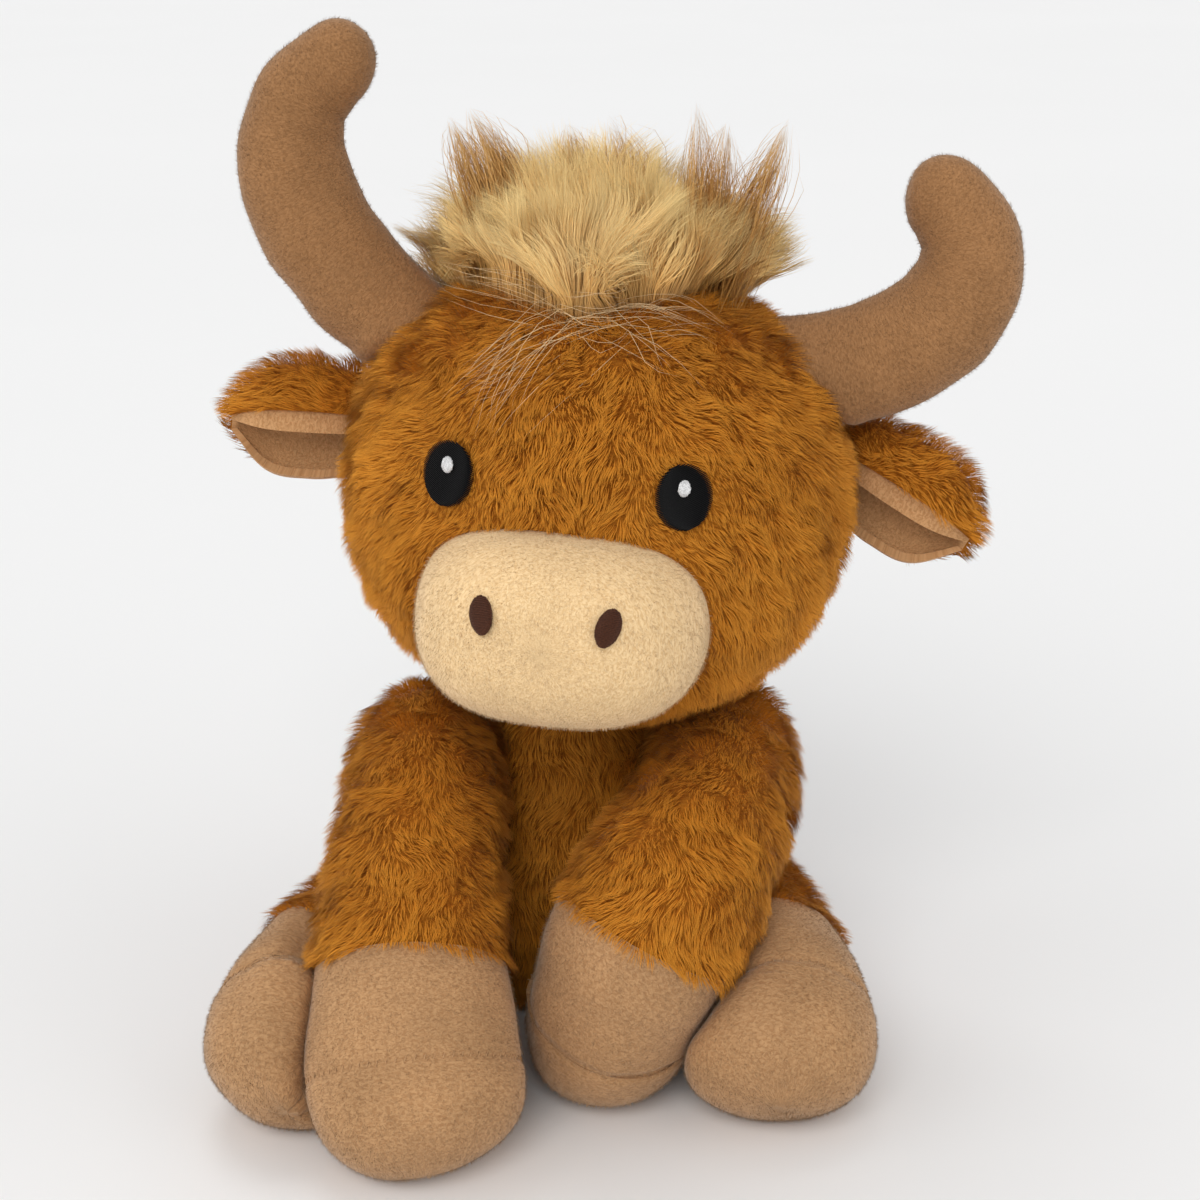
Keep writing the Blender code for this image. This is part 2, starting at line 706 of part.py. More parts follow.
def ear_axes(aim):
    """The way from front to back across an ear, and the way up it."""
    across = UPWARDS.cross(aim).normalized()
    if across.dot(BACKWARDS) < 0:
        across = -across
    up = across.cross(aim).normalized()
    if up.z < 0:
        up = -up
    return across, up


def ear_stations(pivot, aim):
    """Places along an ear, round the root that turns in the head and out to the tip, and outline shares."""
    root_radius = EAR_HALF_HEIGHT * EAR_ROOT_RADIUS_SHARE
    for step in range(EAR_ROOT_STEPS):
        angle = math.pi / 2 * (1 - (step + POLE_SHARE) / (EAR_ROOT_STEPS + POLE_SHARE))
        yield pivot - aim * (root_radius * math.sin(angle)), EAR_ROOT_RADIUS_SHARE * math.cos(angle)
    for along_share in np.linspace(0, 1, EAR_STEPS + 1):
        outline_share = smooth_between(float(along_share), EAR_ALONG_SHARES, EAR_OUTLINE_SHARES)
        yield pivot + aim * (EAR_LENGTH * along_share), outline_share


def ear_layer(name, pivot, aim, outer_share, inner_share, gap):
    """One cloth of a cupped ear, between two shares of its outline."""
    across, up = ear_axes(aim)
    rings = []
    for middle, outline_share in ear_stations(pivot, aim):
        half_height = EAR_HALF_HEIGHT * outline_share
        half_depth = EAR_CUP_HALF_DEPTH * outline_share
        arcs = []
        for share in (outer_share, inner_share):
            arc = []
            for turn in np.linspace(EAR_CUP_START, EAR_CUP_END, CUP_STEPS + 1):
                rise = up * ((half_height * share - gap) * math.cos(turn))
                arc.append(middle + rise + across * ((half_depth * share - gap) * math.sin(turn)))
            arcs.append(arc)
        rings.append(arcs[0] + arcs[1][::-1])
    return in_head(solid(name, rings, flat_lid))


def ear(word, pivot, aim):
    """Plush back and velvet lining of an ear, and the room in the head that its broad round root turns in."""
    aim = aim.normalized()
    inside = 1 - EAR_LAYER_SHARE
    back = ear_layer(f"{word}_ear_back", pivot, aim, 1, inside, 0)
    lining = ear_layer(f"{word}_ear_lining", pivot, aim, inside, inside - EAR_LAYER_SHARE, SEWN_GAP)
    across, up = ear_axes(aim)
    turn_step = (EAR_CUP_END - EAR_CUP_START) / CUP_STEPS
    turns = np.linspace(EAR_CUP_START - turn_step, EAR_CUP_END + turn_step, CUP_STEPS + 3)
    rings = []
    for middle, outline_share in ear_stations(pivot - aim * SOCKET_GAP, aim):
        rise = up * (EAR_HALF_HEIGHT * outline_share + SOCKET_GAP)
        depth = across * (EAR_CUP_HALF_DEPTH * outline_share + SEWN_GAP)
        rings.append([middle + rise * math.cos(turn) + depth * math.sin(turn) for turn in turns])
    room = as_cutter(in_head(solid(f"{word}_ear_room", rings)))
    return [finish(back, PLUSH), finish(lining, HORN_CLOTH)], room


def forelock(rooms):
    """The mound of long hair on the crown, between the horns."""
    rings = []
    for step in range(FORELOCK_STEPS + 1):
        angle = math.pi * (step + POLE_SHARE) / (FORELOCK_STEPS + 2 * POLE_SHARE) - math.pi / 2
        level = head_place(FORELOCK_PLACE_SHARES) + UPWARDS * (FORELOCK_HALF_HEIGHT * math.sin(angle))
        half_width = FORELOCK_HALF_WIDTH * math.cos(angle)
        half_depth = FORELOCK_HALF_DEPTH * math.cos(angle)
        rings.append(oval_ring(level, SIDEWAYS, BACKWARDS, half_width, half_depth, HEAD_SIDES))
    return finish(cut(in_head(solid("forelock", rings)), *rooms), HAIR)


def tail(pivot):
    """Tail and tuft, and the room of its round root in the torso."""
    fall = pivot + BACKWARDS * TAIL_REACH - UPWARDS * (pivot.z * TAIL_DROP_SHARE)
    shape = Limb([pivot, pivot + BACKWARDS * TAIL_ARCH, fall], SIDEWAYS, SMALL_SIDES)
    radii = (TAIL_RADIUS, TAIL_TIP_RADIUS)
    shape.set_sizes((0, shape.length), radii, radii)
    strap = solid("tail", layer(shape.root_ball() + shape.stretch(0, shape.length, SLEEVE_STEPS), 0))
    end, direction, across, along = shape.axes(shape.length)
    rings = []
    for step in range(TUFT_STEPS + 1):
        share = step / TUFT_STEPS
        size = TUFT_RADIUS * smooth_between(share, TUFT_ALONG_SHARES, TUFT_WIDTH_SHARES)
        middle = end + direction * (SEWN_GAP + pivot.z * TUFT_LENGTH_SHARE * share)
        rings.append(Oval(middle, across, along, size, size, SMALL_SIDES).points(0))
    room = ball("tail_room", pivot, TAIL_RADIUS + SOCKET_GAP, SMALL_ROOM_SIDES)
    return [finish(strap, PLUSH), finish(solid("tail_tuft", rings), HAIR)], room


def joint(name, place, pieces, carrier=None):
    """An empty on a joint that carries the pieces that move there."""
    made = bpy.data.objects.new(name, None)
    made.location = place
    bpy.context.scene.collection.objects.link(made)
    bpy.context.view_layer.update()
    for piece in pieces:
        piece.parent = made
        piece.matrix_parent_inverse = made.matrix_world.inverted()
    if carrier:
        made.parent = carrier
        made.matrix_parent_inverse = carrier.matrix_world.inverted()
    return made


# Sizes that follow from those above
TORSO_LEVELS = (-SEAT_SINK, *[TORSO_HEIGHT * share for share in TORSO_LEVEL_SHARES], TORSO_HEIGHT)
TORSO_HALF_WIDTHS = (*[TORSO_HALF_WIDTH * share for share in TORSO_WIDTH_SHARES], NECK_RADIUS)
TORSO_HALF_DEPTHS = (*[TORSO_HALF_DEPTH * share for share in TORSO_DEPTH_SHARES], NECK_RADIUS)
RING_HEIGHTS = [float(height) for height in np.linspace(-SEAT_SINK, TORSO_HEIGHT, TORSO_STEPS + 1)]
NECK_PIVOT = Vector((0, TORSO_BACK_SHIFT, TORSO_HEIGHT))
HEAD_FRAME = (
    Matrix.Translation(NECK_PIVOT + head_place(HEAD_PLACE_SHARES))
    @ Matrix.Rotation(HEAD_TURN, 4, UPWARDS)
    @ Matrix.Rotation(HEAD_PITCH, 4, SIDEWAYS)
    @ Matrix.Rotation(HEAD_ROLL, 4, BACKWARDS)
)
MUZZLE_MIDDLE = head_place(MUZZLE_PLACE_SHARES)
RIGHT_SHOULDER = body_place(RIGHT_SHOULDER_SHARES)
LEFT_SHOULDER = body_place(LEFT_SHOULDER_SHARES)
RIGHT_HIP = body_place(RIGHT_HIP_SHARES)
LEFT_HIP = body_place(LEFT_HIP_SHARES)
TAIL_ROOT = body_place((0, 1, TAIL_HEIGHT_SHARE))
RIGHT_EAR_PIVOT = head_place(RIGHT_EAR_PIVOT_SHARES)
LEFT_EAR_PIVOT = head_place(LEFT_EAR_PIVOT_SHARES)
FORELEG_RADII = (FORELEG_ROOT_RADIUS, FORELEG_KNEE_RADIUS, FORELEG_HEM_RADIUS)
HIND_LEG_RADII = (HIND_LEG_ROOT_RADIUS, HIND_LEG_KNEE_RADIUS, HIND_LEG_HEM_RADIUS)
RIGHT_FORE_HOOF = (RIGHT_FORE_HOOF_HALF_WIDTH, RIGHT_FORE_HOOF_HALF_DEPTH, FORE_HOOF_LENGTH, FORE_CAP_LENGTH)
LEFT_FORE_HOOF = (LEFT_FORE_HOOF_HALF_WIDTH, LEFT_FORE_HOOF_HALF_DEPTH, FORE_HOOF_LENGTH, FORE_CAP_LENGTH)
HIND_HOOF = (HIND_HOOF_HALF_WIDTH, HIND_HOOF_HALF_DEPTH, HIND_HOOF_LENGTH, HIND_CAP_LENGTH)

SIDE_POLES = (0, LEG_SIDES // 2)
UPRIGHT_POLES = (LEG_SIDES // 4, LEG_SIDES * 3 // 4)

# Cloths
remove_all_objects()
PLUSH = cloth("golden_plush", (0.42, 0.17, 0.035), 0.95)
HAIR = cloth("blond_hair", (0.62, 0.40, 0.16), 0.7)
HORN_CLOTH = cloth("tan_velvet", (0.42, 0.27, 0.16), 0.85)
HOOF_CLOTH = cloth("hoof_velvet", (0.50, 0.32, 0.18), 0.85)
MUZZLE_CLOTH = cloth("cream_velvet", (0.80, 0.60, 0.36), 0.85)
NOSTRIL_THREAD = cloth("brown_thread", (0.07, 0.025, 0.018), 0.5)
EYE_THREAD = cloth("black_thread", (0.01, 0.01, 0.012), 0.4)
GLINT_THREAD = cloth("white_thread", (0.85, 0.85, 0.85), 0.4)
STUFFING = cloth("white_stuffing", (0.85, 0.85, 0.83), 1)
BAG_CLOTH = cloth("bag_cotton", (0.7, 0.66, 0.58), 0.9)

# Legs, in the order in which each gives way to those before it
line = leg_line(RIGHT_SHOULDER, RIGHT_FORELEG_BEND_SHARES, FORELEG_REACH)
right_fore, right_fore_room, right_fore_surface = leg(
    "right_foreleg", line, FORELEG_RADII, RIGHT_FORE_HOOF, SIDE_POLES, []
)
line = leg_line(LEFT_SHOULDER, LEFT_FORELEG_BEND_SHARES, FORELEG_REACH)
left_fore, left_fore_room, left_fore_surface = leg(
    "left_foreleg", line, FORELEG_RADII, LEFT_FORE_HOOF, SIDE_POLES, [right_fore_surface]
)
line = leg_line(RIGHT_HIP, RIGHT_HIND_LEG_BEND_SHARES, HIND_LEG_REACH)
right_hind, right_hind_room, _ = leg(
    "right_hind_leg", line, HIND_LEG_RADII, HIND_HOOF, UPRIGHT_POLES, [right_fore_surface]
)
line = leg_line(LEFT_HIP, LEFT_HIND_LEG_BEND_SHARES, HIND_LEG_REACH)
left_hind, left_hind_room, _ = leg(
    "left_hind_leg", line, HIND_LEG_RADII, HIND_HOOF, UPRIGHT_POLES, [left_fore_surface]
)

# Tail and torso
tail_pieces, tail_room = tail(TAIL_ROOT)
rooms = swung(right_fore_room, RIGHT_SHOULDER, -SIDEWAYS, RIGHT_FORELEG_SWINGS)
rooms += swung(left_fore_room, LEFT_SHOULDER, -SIDEWAYS, LEFT_FORELEG_SWINGS)
torso([*rooms, right_hind_room, left_hind_room, tail_room])

# Head
neck_room = ball("neck_room", NECK_PIVOT, NECK_RADIUS + SOCKET_GAP, NECK_ROOM_SIDES)
face = as_cutter(head_layer("face_bed", -SEWN_GAP))
head_hollow = as_cutter(head_layer("head_hollow", COVER_WALL))
muzzle_pieces, muzzle_room = muzzle()
right_ear, right_ear_room = ear("right", RIGHT_EAR_PIVOT, RIGHT_EAR_AIM)
left_ear, left_ear_room = ear("left", LEFT_EAR_PIVOT, LEFT_EAR_AIM)
head_rooms = [neck_room, muzzle_room, right_ear_room, left_ear_room]
head_cover = finish(cut(head_layer("head_cover", 0), head_hollow, *head_rooms), PLUSH)
head_filling = finish(cut(head_layer("head_stuffing", COVER_WALL + SEWN_GAP), *head_rooms), STUFFING)
right_horn, right_horn_room = horn("right", RIGHT_HORN_ROOT_SHARES, RIGHT_HORN_BEND_SHARES, face)
left_horn, left_horn_room = horn("left", LEFT_HORN_ROOT_SHARES, LEFT_HORN_BEND_SHARES, face)
hair = forelock([face, right_horn_room, left_horn_room])
head_pieces = [head_cover, head_filling, hair, *muzzle_pieces, *eyes(), *right_horn, *left_horn]

# Joints
neck = joint("neck_joint", NECK_PIVOT, head_pieces)
joint("right_ear_joint", HEAD_FRAME @ RIGHT_EAR_PIVOT, right_ear, neck)
joint("left_ear_joint", HEAD_FRAME @ LEFT_EAR_PIVOT, left_ear, neck)
joint("right_shoulder_joint", RIGHT_SHOULDER, right_fore)
joint("left_shoulder_joint", LEFT_SHOULDER, left_fore)
joint("right_hip_joint", RIGHT_HIP, right_hind)
joint("left_hip_joint", LEFT_HIP, left_hind)
joint("tail_joint", TAIL_ROOT, tail_pieces)
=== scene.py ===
# %% [markdown]
# # A sitting plush cow, dressed over its solid model
#
# The toy is sewn from three cloths: a golden plush with a long pile, a short tan velvet on the horns, the
# hooves and inside the ears, and a cream velvet on the muzzle. One patch of long blond hair sits on the
# crown. The solid model already holds every cover and its stuffing. This lesson draws each cloth over its
# stuffing and then grows the pile, because on a plush toy it is the pile that the eye sees.

# %% The solid model
import json
import math

import bpy
import numpy as np
from mathutils import Matrix, Vector, noise
from mathutils.bvhtree import BVHTree
from mathutils.kdtree import KDTree


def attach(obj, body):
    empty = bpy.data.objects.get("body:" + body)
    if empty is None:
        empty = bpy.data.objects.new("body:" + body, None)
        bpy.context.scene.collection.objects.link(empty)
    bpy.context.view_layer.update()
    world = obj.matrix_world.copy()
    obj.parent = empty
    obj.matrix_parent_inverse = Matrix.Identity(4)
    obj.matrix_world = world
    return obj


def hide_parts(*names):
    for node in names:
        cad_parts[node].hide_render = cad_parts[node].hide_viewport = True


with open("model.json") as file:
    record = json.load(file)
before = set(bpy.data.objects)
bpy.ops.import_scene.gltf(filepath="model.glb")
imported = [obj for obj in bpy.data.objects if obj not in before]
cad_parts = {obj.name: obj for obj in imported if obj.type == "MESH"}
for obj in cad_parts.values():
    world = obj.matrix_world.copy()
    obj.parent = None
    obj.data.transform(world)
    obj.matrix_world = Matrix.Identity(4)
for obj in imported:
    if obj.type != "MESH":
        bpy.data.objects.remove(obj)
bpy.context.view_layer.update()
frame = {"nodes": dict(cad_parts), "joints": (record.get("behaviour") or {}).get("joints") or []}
nodes = frame["nodes"]
joint_places = {joint["name"]: np.array(joint["pos_m"], float) for joint in frame["joints"]}
print("solid model:", len(nodes), "pieces, joints", sorted(joint_places))

# %% [markdown]
# ## Camera, floor and light
#
# The photograph looks down at the cow by twenty degrees, from a little over 0.6 metres away. The floor is so
# large that its far edge lies above the frame, so the floor is the whole background. The light is that of a
# white room: an even sky, which leaves soft dark patches under the hooves, a broad lamp from the front that
# gives the forms their shape, one from above, and two that reach into the sides of the legs.

# %% Camera
CAMERA_PLACE = (0.007, -0.58261, 0.34502)
CAMERA_DOWN = math.radians(20)
CAMERA_LENS_MM = 60.46
NEAREST_SEEN = 0.01

camera_data = bpy.data.cameras.new("camera")
camera_data.lens = CAMERA_LENS_MM
camera_data.clip_start = NEAREST_SEEN
camera = bpy.data.objects.new("camera", camera_data)
camera.location = CAMERA_PLACE
camera.rotation_euler = (math.pi / 2 - CAMERA_DOWN, 0, 0)
scene = bpy.context.scene
scene.collection.objects.link(camera)
scene.camera = camera
scene.view_settings.view_transform = "Standard"
print("camera at", CAMERA_PLACE)


# %% Materials have one shader, and textures are added to it
def principled(name, roughness):
    """A new material, its shader and the tree of nodes that feeds it."""
    made = bpy.data.materials.new(name)
    made.use_nodes = True
    shader = made.node_tree.nodes["Principled BSDF"]
    shader.inputs["Roughness"].default_value = roughness
    return made, shader, made.node_tree


def node(tree, kind, settings=None, **inputs):
    """A shader node, with its settings and its inputs. An input is a value or another node's output."""
    made = tree.nodes.new(kind)
    for key, value in (settings or {}).items():
        setattr(made, key, value)
    for key, value in inputs.items():
        socket = made.inputs[key.replace("_", " ")]
        if isinstance(value, bpy.types.NodeSocket):
            tree.links.new(value, socket)
        else:
            socket.default_value = value
    return made


def colours(tree, amount, *stops):
    """A colour ramp through (place, colour) stops."""
    made = tree.nodes.new("ShaderNodeValToRGB")
    ramp = made.color_ramp
    while len(ramp.elements) < len(stops):
        ramp.elements.new(1)
    for element, (place, colour) in zip(ramp.elements, stops):
        element.position = place
        element.color = (*colour, 1)
    tree.links.new(amount, made.inputs["Fac"])
    return made.outputs["Color"]


# %% Floor
FLOOR_HALF_SIZE = 12
FLOOR_GREY = (0.885, 0.885, 0.885)
FLOOR_GREY_DEEP = (0.875, 0.875, 0.875)
FLOOR_GRAIN_SCALE = 40
FLOOR_ROUGHNESS = 0.9

floor_mesh = bpy.data.meshes.new("floor")
corners = [(-1, -1), (1, -1), (1, 1), (-1, 1)]
places = [(x * FLOOR_HALF_SIZE, y * FLOOR_HALF_SIZE, 0) for x, y in corners]
floor_mesh.from_pydata(places, [], [(0, 1, 2, 3)])
floor = bpy.data.objects.new("floor", floor_mesh)
scene.collection.objects.link(floor)
floor_paper, shader, tree = principled("floor_paper", FLOOR_ROUGHNESS)
grain = node(tree, "ShaderNodeTexNoise", Scale=FLOOR_GRAIN_SCALE)
paper_colour = colours(tree, grain.outputs["Fac"], (0.3, FLOOR_GREY_DEEP), (0.7, FLOOR_GREY))
tree.links.new(paper_colour, shader.inputs["Base Color"])
floor_mesh.materials.append(floor_paper)
print("floor", FLOOR_HALF_SIZE * 2, "m wide")

# %% Sky and lamps
SKY_STRENGTH = 0.50
BACKGROUND_WHITE = 0.92
LAMPS = (
    ("front_lamp", 1.12, math.radians(38), (math.radians(48), 0, math.radians(-14))),
    ("top_lamp", 0.50, math.radians(30), (math.radians(-22), math.radians(-6), 0)),
    ("right_lamp", 0.75, math.radians(60), (math.radians(20), math.radians(-70), 0)),
    ("left_lamp", 0.60, math.radians(60), (math.radians(20), math.radians(70), 0)),
)

world = bpy.data.worlds.new("white_room")
scene.world = world
world.use_nodes = True
sky = world.node_tree.nodes["Background"]
sky.inputs["Color"].default_value = (1, 1, 1, 1)
seen = world.node_tree.nodes.new("ShaderNodeLightPath").outputs["Is Camera Ray"]
strength = node(
    world.node_tree,
    "ShaderNodeMapRange",
    Value=seen,
    To_Min=SKY_STRENGTH,
    To_Max=BACKGROUND_WHITE,
)
world.node_tree.links.new(strength.outputs["Result"], sky.inputs["Strength"])
for name, energy, softness, turn in LAMPS:
    lamp_data = bpy.data.lights.new(name, "SUN")
    lamp_data.energy = energy
    lamp_data.angle = softness
    lamp = bpy.data.objects.new(name, lamp_data)
    lamp.rotation_euler = turn
    scene.collection.objects.link(lamp)
print("sky and", len(LAMPS), "lamps")

# %% [markdown]
# ## Cloth drawn over the stuffing
#
# A sewn cover takes the shape of what fills it. It could be modelled again by hand, but then it would drift
# away from the stuffing. Here every cover is a net of points instead: rays go out from the middle of a limb
# or of the body and stop where they leave the stuffing, and the points are lifted from there by the
# thickness of the cloth. Smoothing the lengths of the rays takes out the facets of the solid.

# %% Finding the stuffing
COVER_LIFT = 0.0023
SKIN_LIFT = 0.0005
SKIN_THICKNESS = 0.0006
UNDERSIDE_LIFT = 0.0003
TINY = 1e-12


def tree_of(*names):
    """The surfaces of some solids, ready to be searched."""
    points, faces = [], []
    for name in names:
        mesh = nodes[name].data
        first = len(points)
        points += [vertex.co.copy() for vertex in mesh.vertices]
        faces += [[first + index for index in face.vertices] for face in mesh.polygons]
    return BVHTree.FromPolygons(points, faces)


COUNTING_STEP = 0.00001


def crossings(tree, place, way):
    """How far along a ray it crosses a closed surface, each time that it does."""
    found = []
    travelled = 0.0
    distance = tree.ray_cast(place, way)[3]
    while distance is not None:
        travelled += distance
        found.append(travelled)
        travelled += COUNTING_STEP
        distance = tree.ray_cast(place + way * travelled, way)[3]
    return found


def reach_of(tree, origins, directions):
    """How far each ray goes before it leaves the tree for good. One that misses takes the others' mean."""
    found = np.full(directions.shape[:2], np.nan)
    for spot in np.ndindex(found.shape):
        met = crossings(tree, Vector(origins[spot]), Vector(directions[spot]).normalized())
        if met:
            found[spot] = met[-1]
    found[np.isnan(found)] = np.nanmean(found)
    return found


def reach_along(tree, origins, directions):
    """How far the rays of a limb go before they leave it. One from outside takes the next row's reach."""
    found = np.full(directions.shape[:2], np.nan)
    for spot in np.ndindex(found.shape):
        direction = Vector(directions[spot])
        _, normal, _, distance = tree.ray_cast(Vector(origins[spot]), direction)
        if distance is not None and normal.dot(direction) > 0:
            found[spot] = distance
    for row in range(len(found) - 2, -1, -1):
        missing = np.isnan(found[row])
        found[row][missing] = found[row + 1][missing]
    found[np.isnan(found)] = np.nanmean(found)
    return found


def unit(vectors):
    """The vectors at length one."""
    return vectors / np.maximum(np.linalg.norm(vectors, axis=-1, keepdims=True), TINY)


def blurred(values, rows, columns):
    """The values of a net, smoothed along its rows and round its columns."""
    result = values
    for width, axis, mode in ((rows, 0, "edge"), (columns, 1, "wrap")):
        reach = int(math.ceil(2 * width))
        weights = np.exp(-0.5 * (np.arange(-reach, reach + 1) / width) ** 2)
        weights /= weights.sum()
        margins = [(0, 0), (0, 0)]
        margins[axis] = (reach, reach)
        wide = np.pad(result, margins, mode=mode)
        length = result.shape[axis]
        result = sum(w * np.take(wide, range(i, i + length), axis) for i, w in enumerate(weights))
    return result


# %% A net of points over one stuffed form
FLOOR_CLEARANCE = 0.0004
STATION_SLACK = 1e-9


class Net:
    """Rows of points along a stuffed form and columns round it, with the way out at each point."""

    def __init__(self, points, stations):
        self.points = points
        self.stations = stations
        self.rows, self.columns = points.shape[:2]
        around = np.roll(points, -1, 1) - np.roll(points, 1, 1)
        along = np.gradient(points, axis=0)
        self.around = unit(around)
        self.along = unit(along)
        self.normals = unit(np.cross(self.around, self.along))

    def lifted(self, height):
        """The same net, raised from the form by a height or a net of heights, never under the floor."""
        heights = np.broadcast_to(np.asarray(height, float), self.points.shape[:2])
        points = self.points + self.normals * heights[..., None]
        points[..., 2] = np.maximum(points[..., 2], FLOOR_CLEARANCE)
        return Net(points, self.stations)

    def part(self, first, last):
        """The rows whose stations lie between two distances."""
        inside = (self.stations >= first - STATION_SLACK) & (self.stations <= last + STATION_SLACK)
        rows = np.flatnonzero(inside)
        chosen = Net(self.points[rows], self.stations[rows])
        chosen.normals = self.normals[rows]
        chosen.along = self.along[rows]
        chosen.around = self.around[rows]
        return chosen


# %% Draping the net
SMOOTHING_SINK = 0.0002
DRAPING_PASSES = 3
DRAPING_GAIN = 1.5
DEEPEST_SINK = 0.0006
ROUND_END_FIRST = math.radians(6)
ROUND_END_ROWS = 14
LINE_STEPS = 257
AIM_SHARE = 1 / 64


def draped(reach, smooth):
    """Reaches of a cloth that runs smoothly over the facets below it and hardly sinks into them."""
    cloth = blurred(reach, *smooth)
    for _ in range(DRAPING_PASSES):
        cloth = cloth + blurred(np.maximum(reach - SMOOTHING_SINK - cloth, 0), *smooth) * DRAPING_GAIN
    return np.maximum(cloth, reach - DEEPEST_SINK)


def bezier(line, shares):
    """Points of a Bezier curve through its control points, at shares of the way."""
    points = np.repeat(np.array(line, float)[None], len(shares), 0)
    while points.shape[1] > 1:
        points = points[:, :-1] + (points[:, 1:] - points[:, :-1]) * shares[:, None, None]
    return points[:, 0]


def limb_net(line, side, tree, stations, toe_from, root_radius, columns, smooth=(1.5, 3)):
    """A net over a limb: a round root, rows at the stations along its line, and a round toe."""
    shares = np.linspace(0, 1, LINE_STEPS)
    curve = bezier(line, shares)
    lengths = np.concatenate([[0], np.cumsum(np.linalg.norm(np.diff(curve, axis=0), axis=1))])
    rows = []
    if root_radius:
        for angle in np.linspace(ROUND_END_FIRST, math.pi / 2, ROUND_END_ROWS, endpoint=False):
            rows.append((0.0, -math.cos(angle), math.sin(angle), -root_radius * math.cos(angle)))
    rows += [(float(station), 0.0, 1.0, float(station)) for station in stations]
    toe = lengths[-1] - toe_from
    for angle in np.linspace(math.pi / 2, ROUND_END_FIRST, ROUND_END_ROWS + 1)[1:]:
        rows.append((toe_from, math.cos(angle), math.sin(angle), toe_from + toe * math.cos(angle)))
    starts, onward, spread, distances = (np.array(values) for values in zip(*rows))
    at = np.interp(starts, lengths, shares)
    middles = bezier(line, at)
    forward = unit(bezier(line, np.minimum(at + AIM_SHARE, 1)) - bezier(line, np.maximum(at - AIM_SHARE, 0)))
    across = unit(side - forward * (forward @ side)[:, None])
    up = np.cross(forward, across)
    turns = np.linspace(0, 2 * math.pi, columns, endpoint=False)
    out = np.cos(turns)[None, :, None] * across[:, None] + np.sin(turns)[None, :, None] * up[:, None]
    directions = onward[:, None, None] * forward[:, None] + spread[:, None, None] * out
    origins = np.broadcast_to(middles[:, None], directions.shape)
    reach = draped(reach_along(tree, origins, directions), smooth)
    return Net(origins + directions * reach[..., None], distances)


print("nets can be drawn")


# %% Turning a net into a sewn cover
HEM_ANGLE = math.radians(55)


def new_mesh(name, points, faces, uvs, material):
    """An object from points, faces of three or four corners, and the cloth's place at each corner."""
    mesh = bpy.data.meshes.new(name)
    mesh.from_pydata(points.tolist(), [], faces)
    layer = mesh.uv_layers.new(name="cloth")
    layer.data.foreach_set("uv", np.asarray(uvs, np.float32).ravel())
    mesh.shade_smooth()
    mesh.set_sharp_from_angle(angle=HEM_ANGLE)
    mesh.materials.append(material)
    made = bpy.data.objects.new(name, mesh)
    scene.collection.objects.link(made)
    return made


def sheath(name, outer, inner, material, closed_first=False, closed_last=False):
    """A closed body between two nets: open sleeves have their hems joined, and closed ends run to a point."""
    rows, columns = outer.rows, outer.columns
    layers = [(outer, range(rows)), (inner, range(rows - 1, -1, -1))]
    points = np.concatenate([net.points[list(order)] for net, order in layers]).reshape(-1, 3)
    stations = np.concatenate([net.stations[list(order)] for net, order in layers])
    girth = np.linalg.norm(np.diff(outer.points, axis=1), axis=-1).sum(1).mean()
    faces, uvs = [], []
    total = 2 * rows

    def strip(lower, upper):
        for column in range(columns):
            after = (column + 1) % columns
            low, high = lower * columns, upper * columns
            faces.append((low + column, low + after, high + after, high + column))
            left, right = girth * column / columns, girth * (column + 1) / columns
            uvs.extend([(left, stations[lower]), (right, stations[lower])])
            uvs.extend([(right, stations[upper]), (left, stations[upper])])

    for row in range(total - 1):
        if closed_last and row == rows - 1:
            continue
        strip(row, row + 1)
    if not closed_first:
        strip(total - 1, 0)
    ends = []
    if closed_first:
        ends += [(0, False), (total - 1, True)]
    if closed_last:
        ends += [(rows - 1, True), (rows, False)]
    extra = []
    for row, onwards in ends:
        ring = points[row * columns : (row + 1) * columns]
        middle = len(points) + len(extra)
        extra.append(ring.mean(0))
        for column in range(columns):
            after = (column + 1) % columns
            pair = (row * columns + column, row * columns + after)
            faces.append((*pair, middle) if onwards else (*pair[::-1], middle))
            left, right = girth * column / columns, girth * (column + 1) / columns
            uvs.extend([(left, stations[row]), (right, stations[row]), ((left + right) / 2, stations[row])])
    if extra:
        points = np.concatenate([points, np.array(extra)])
    return new_mesh(name, points, faces, uvs, material)


def dress(piece, body, slot, *replaced, fill=None):
    """A piece rides on its body and stands for the solids that it covers. Its slot is not used."""
    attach(piece, body)
    if replaced:
        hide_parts(*replaced)
    return piece


print("covers can be sewn")

# %% [markdown]
# ## Pile
#
# Plush pile is thousands of fine hairs that lean the way that the cloth was brushed and stick together in
# small locks. A hair system would look right but leaves no mesh behind, and a texture would look flat at the
# edge of the toy. So each hair is a narrow blade that runs to a point, with an upper and an under face,
# because many hairs are seen from behind. Roots are scattered evenly over the net, hairs are bent along a
# comb direction, then neighbours are drawn together towards their tips. The blades are shaded with the
# direction of the cloth below them mixed in, which keeps the coat soft.

# %% Scattering roots over a net
HAIR_SHARE = 1.0


class Roots:
    """Places on a cloth where hairs start."""

    def __init__(self, points, normals, along, around, stations):
        self.points = points
        self.normals = unit(normals)
        self.along = along
        self.around = around
        self.stations = stations

    def where(self, keep):
        """Only the roots that are kept."""
        return Roots(
            self.points[keep], self.normals[keep], self.along[keep], self.around[keep], self.stations[keep]
        )


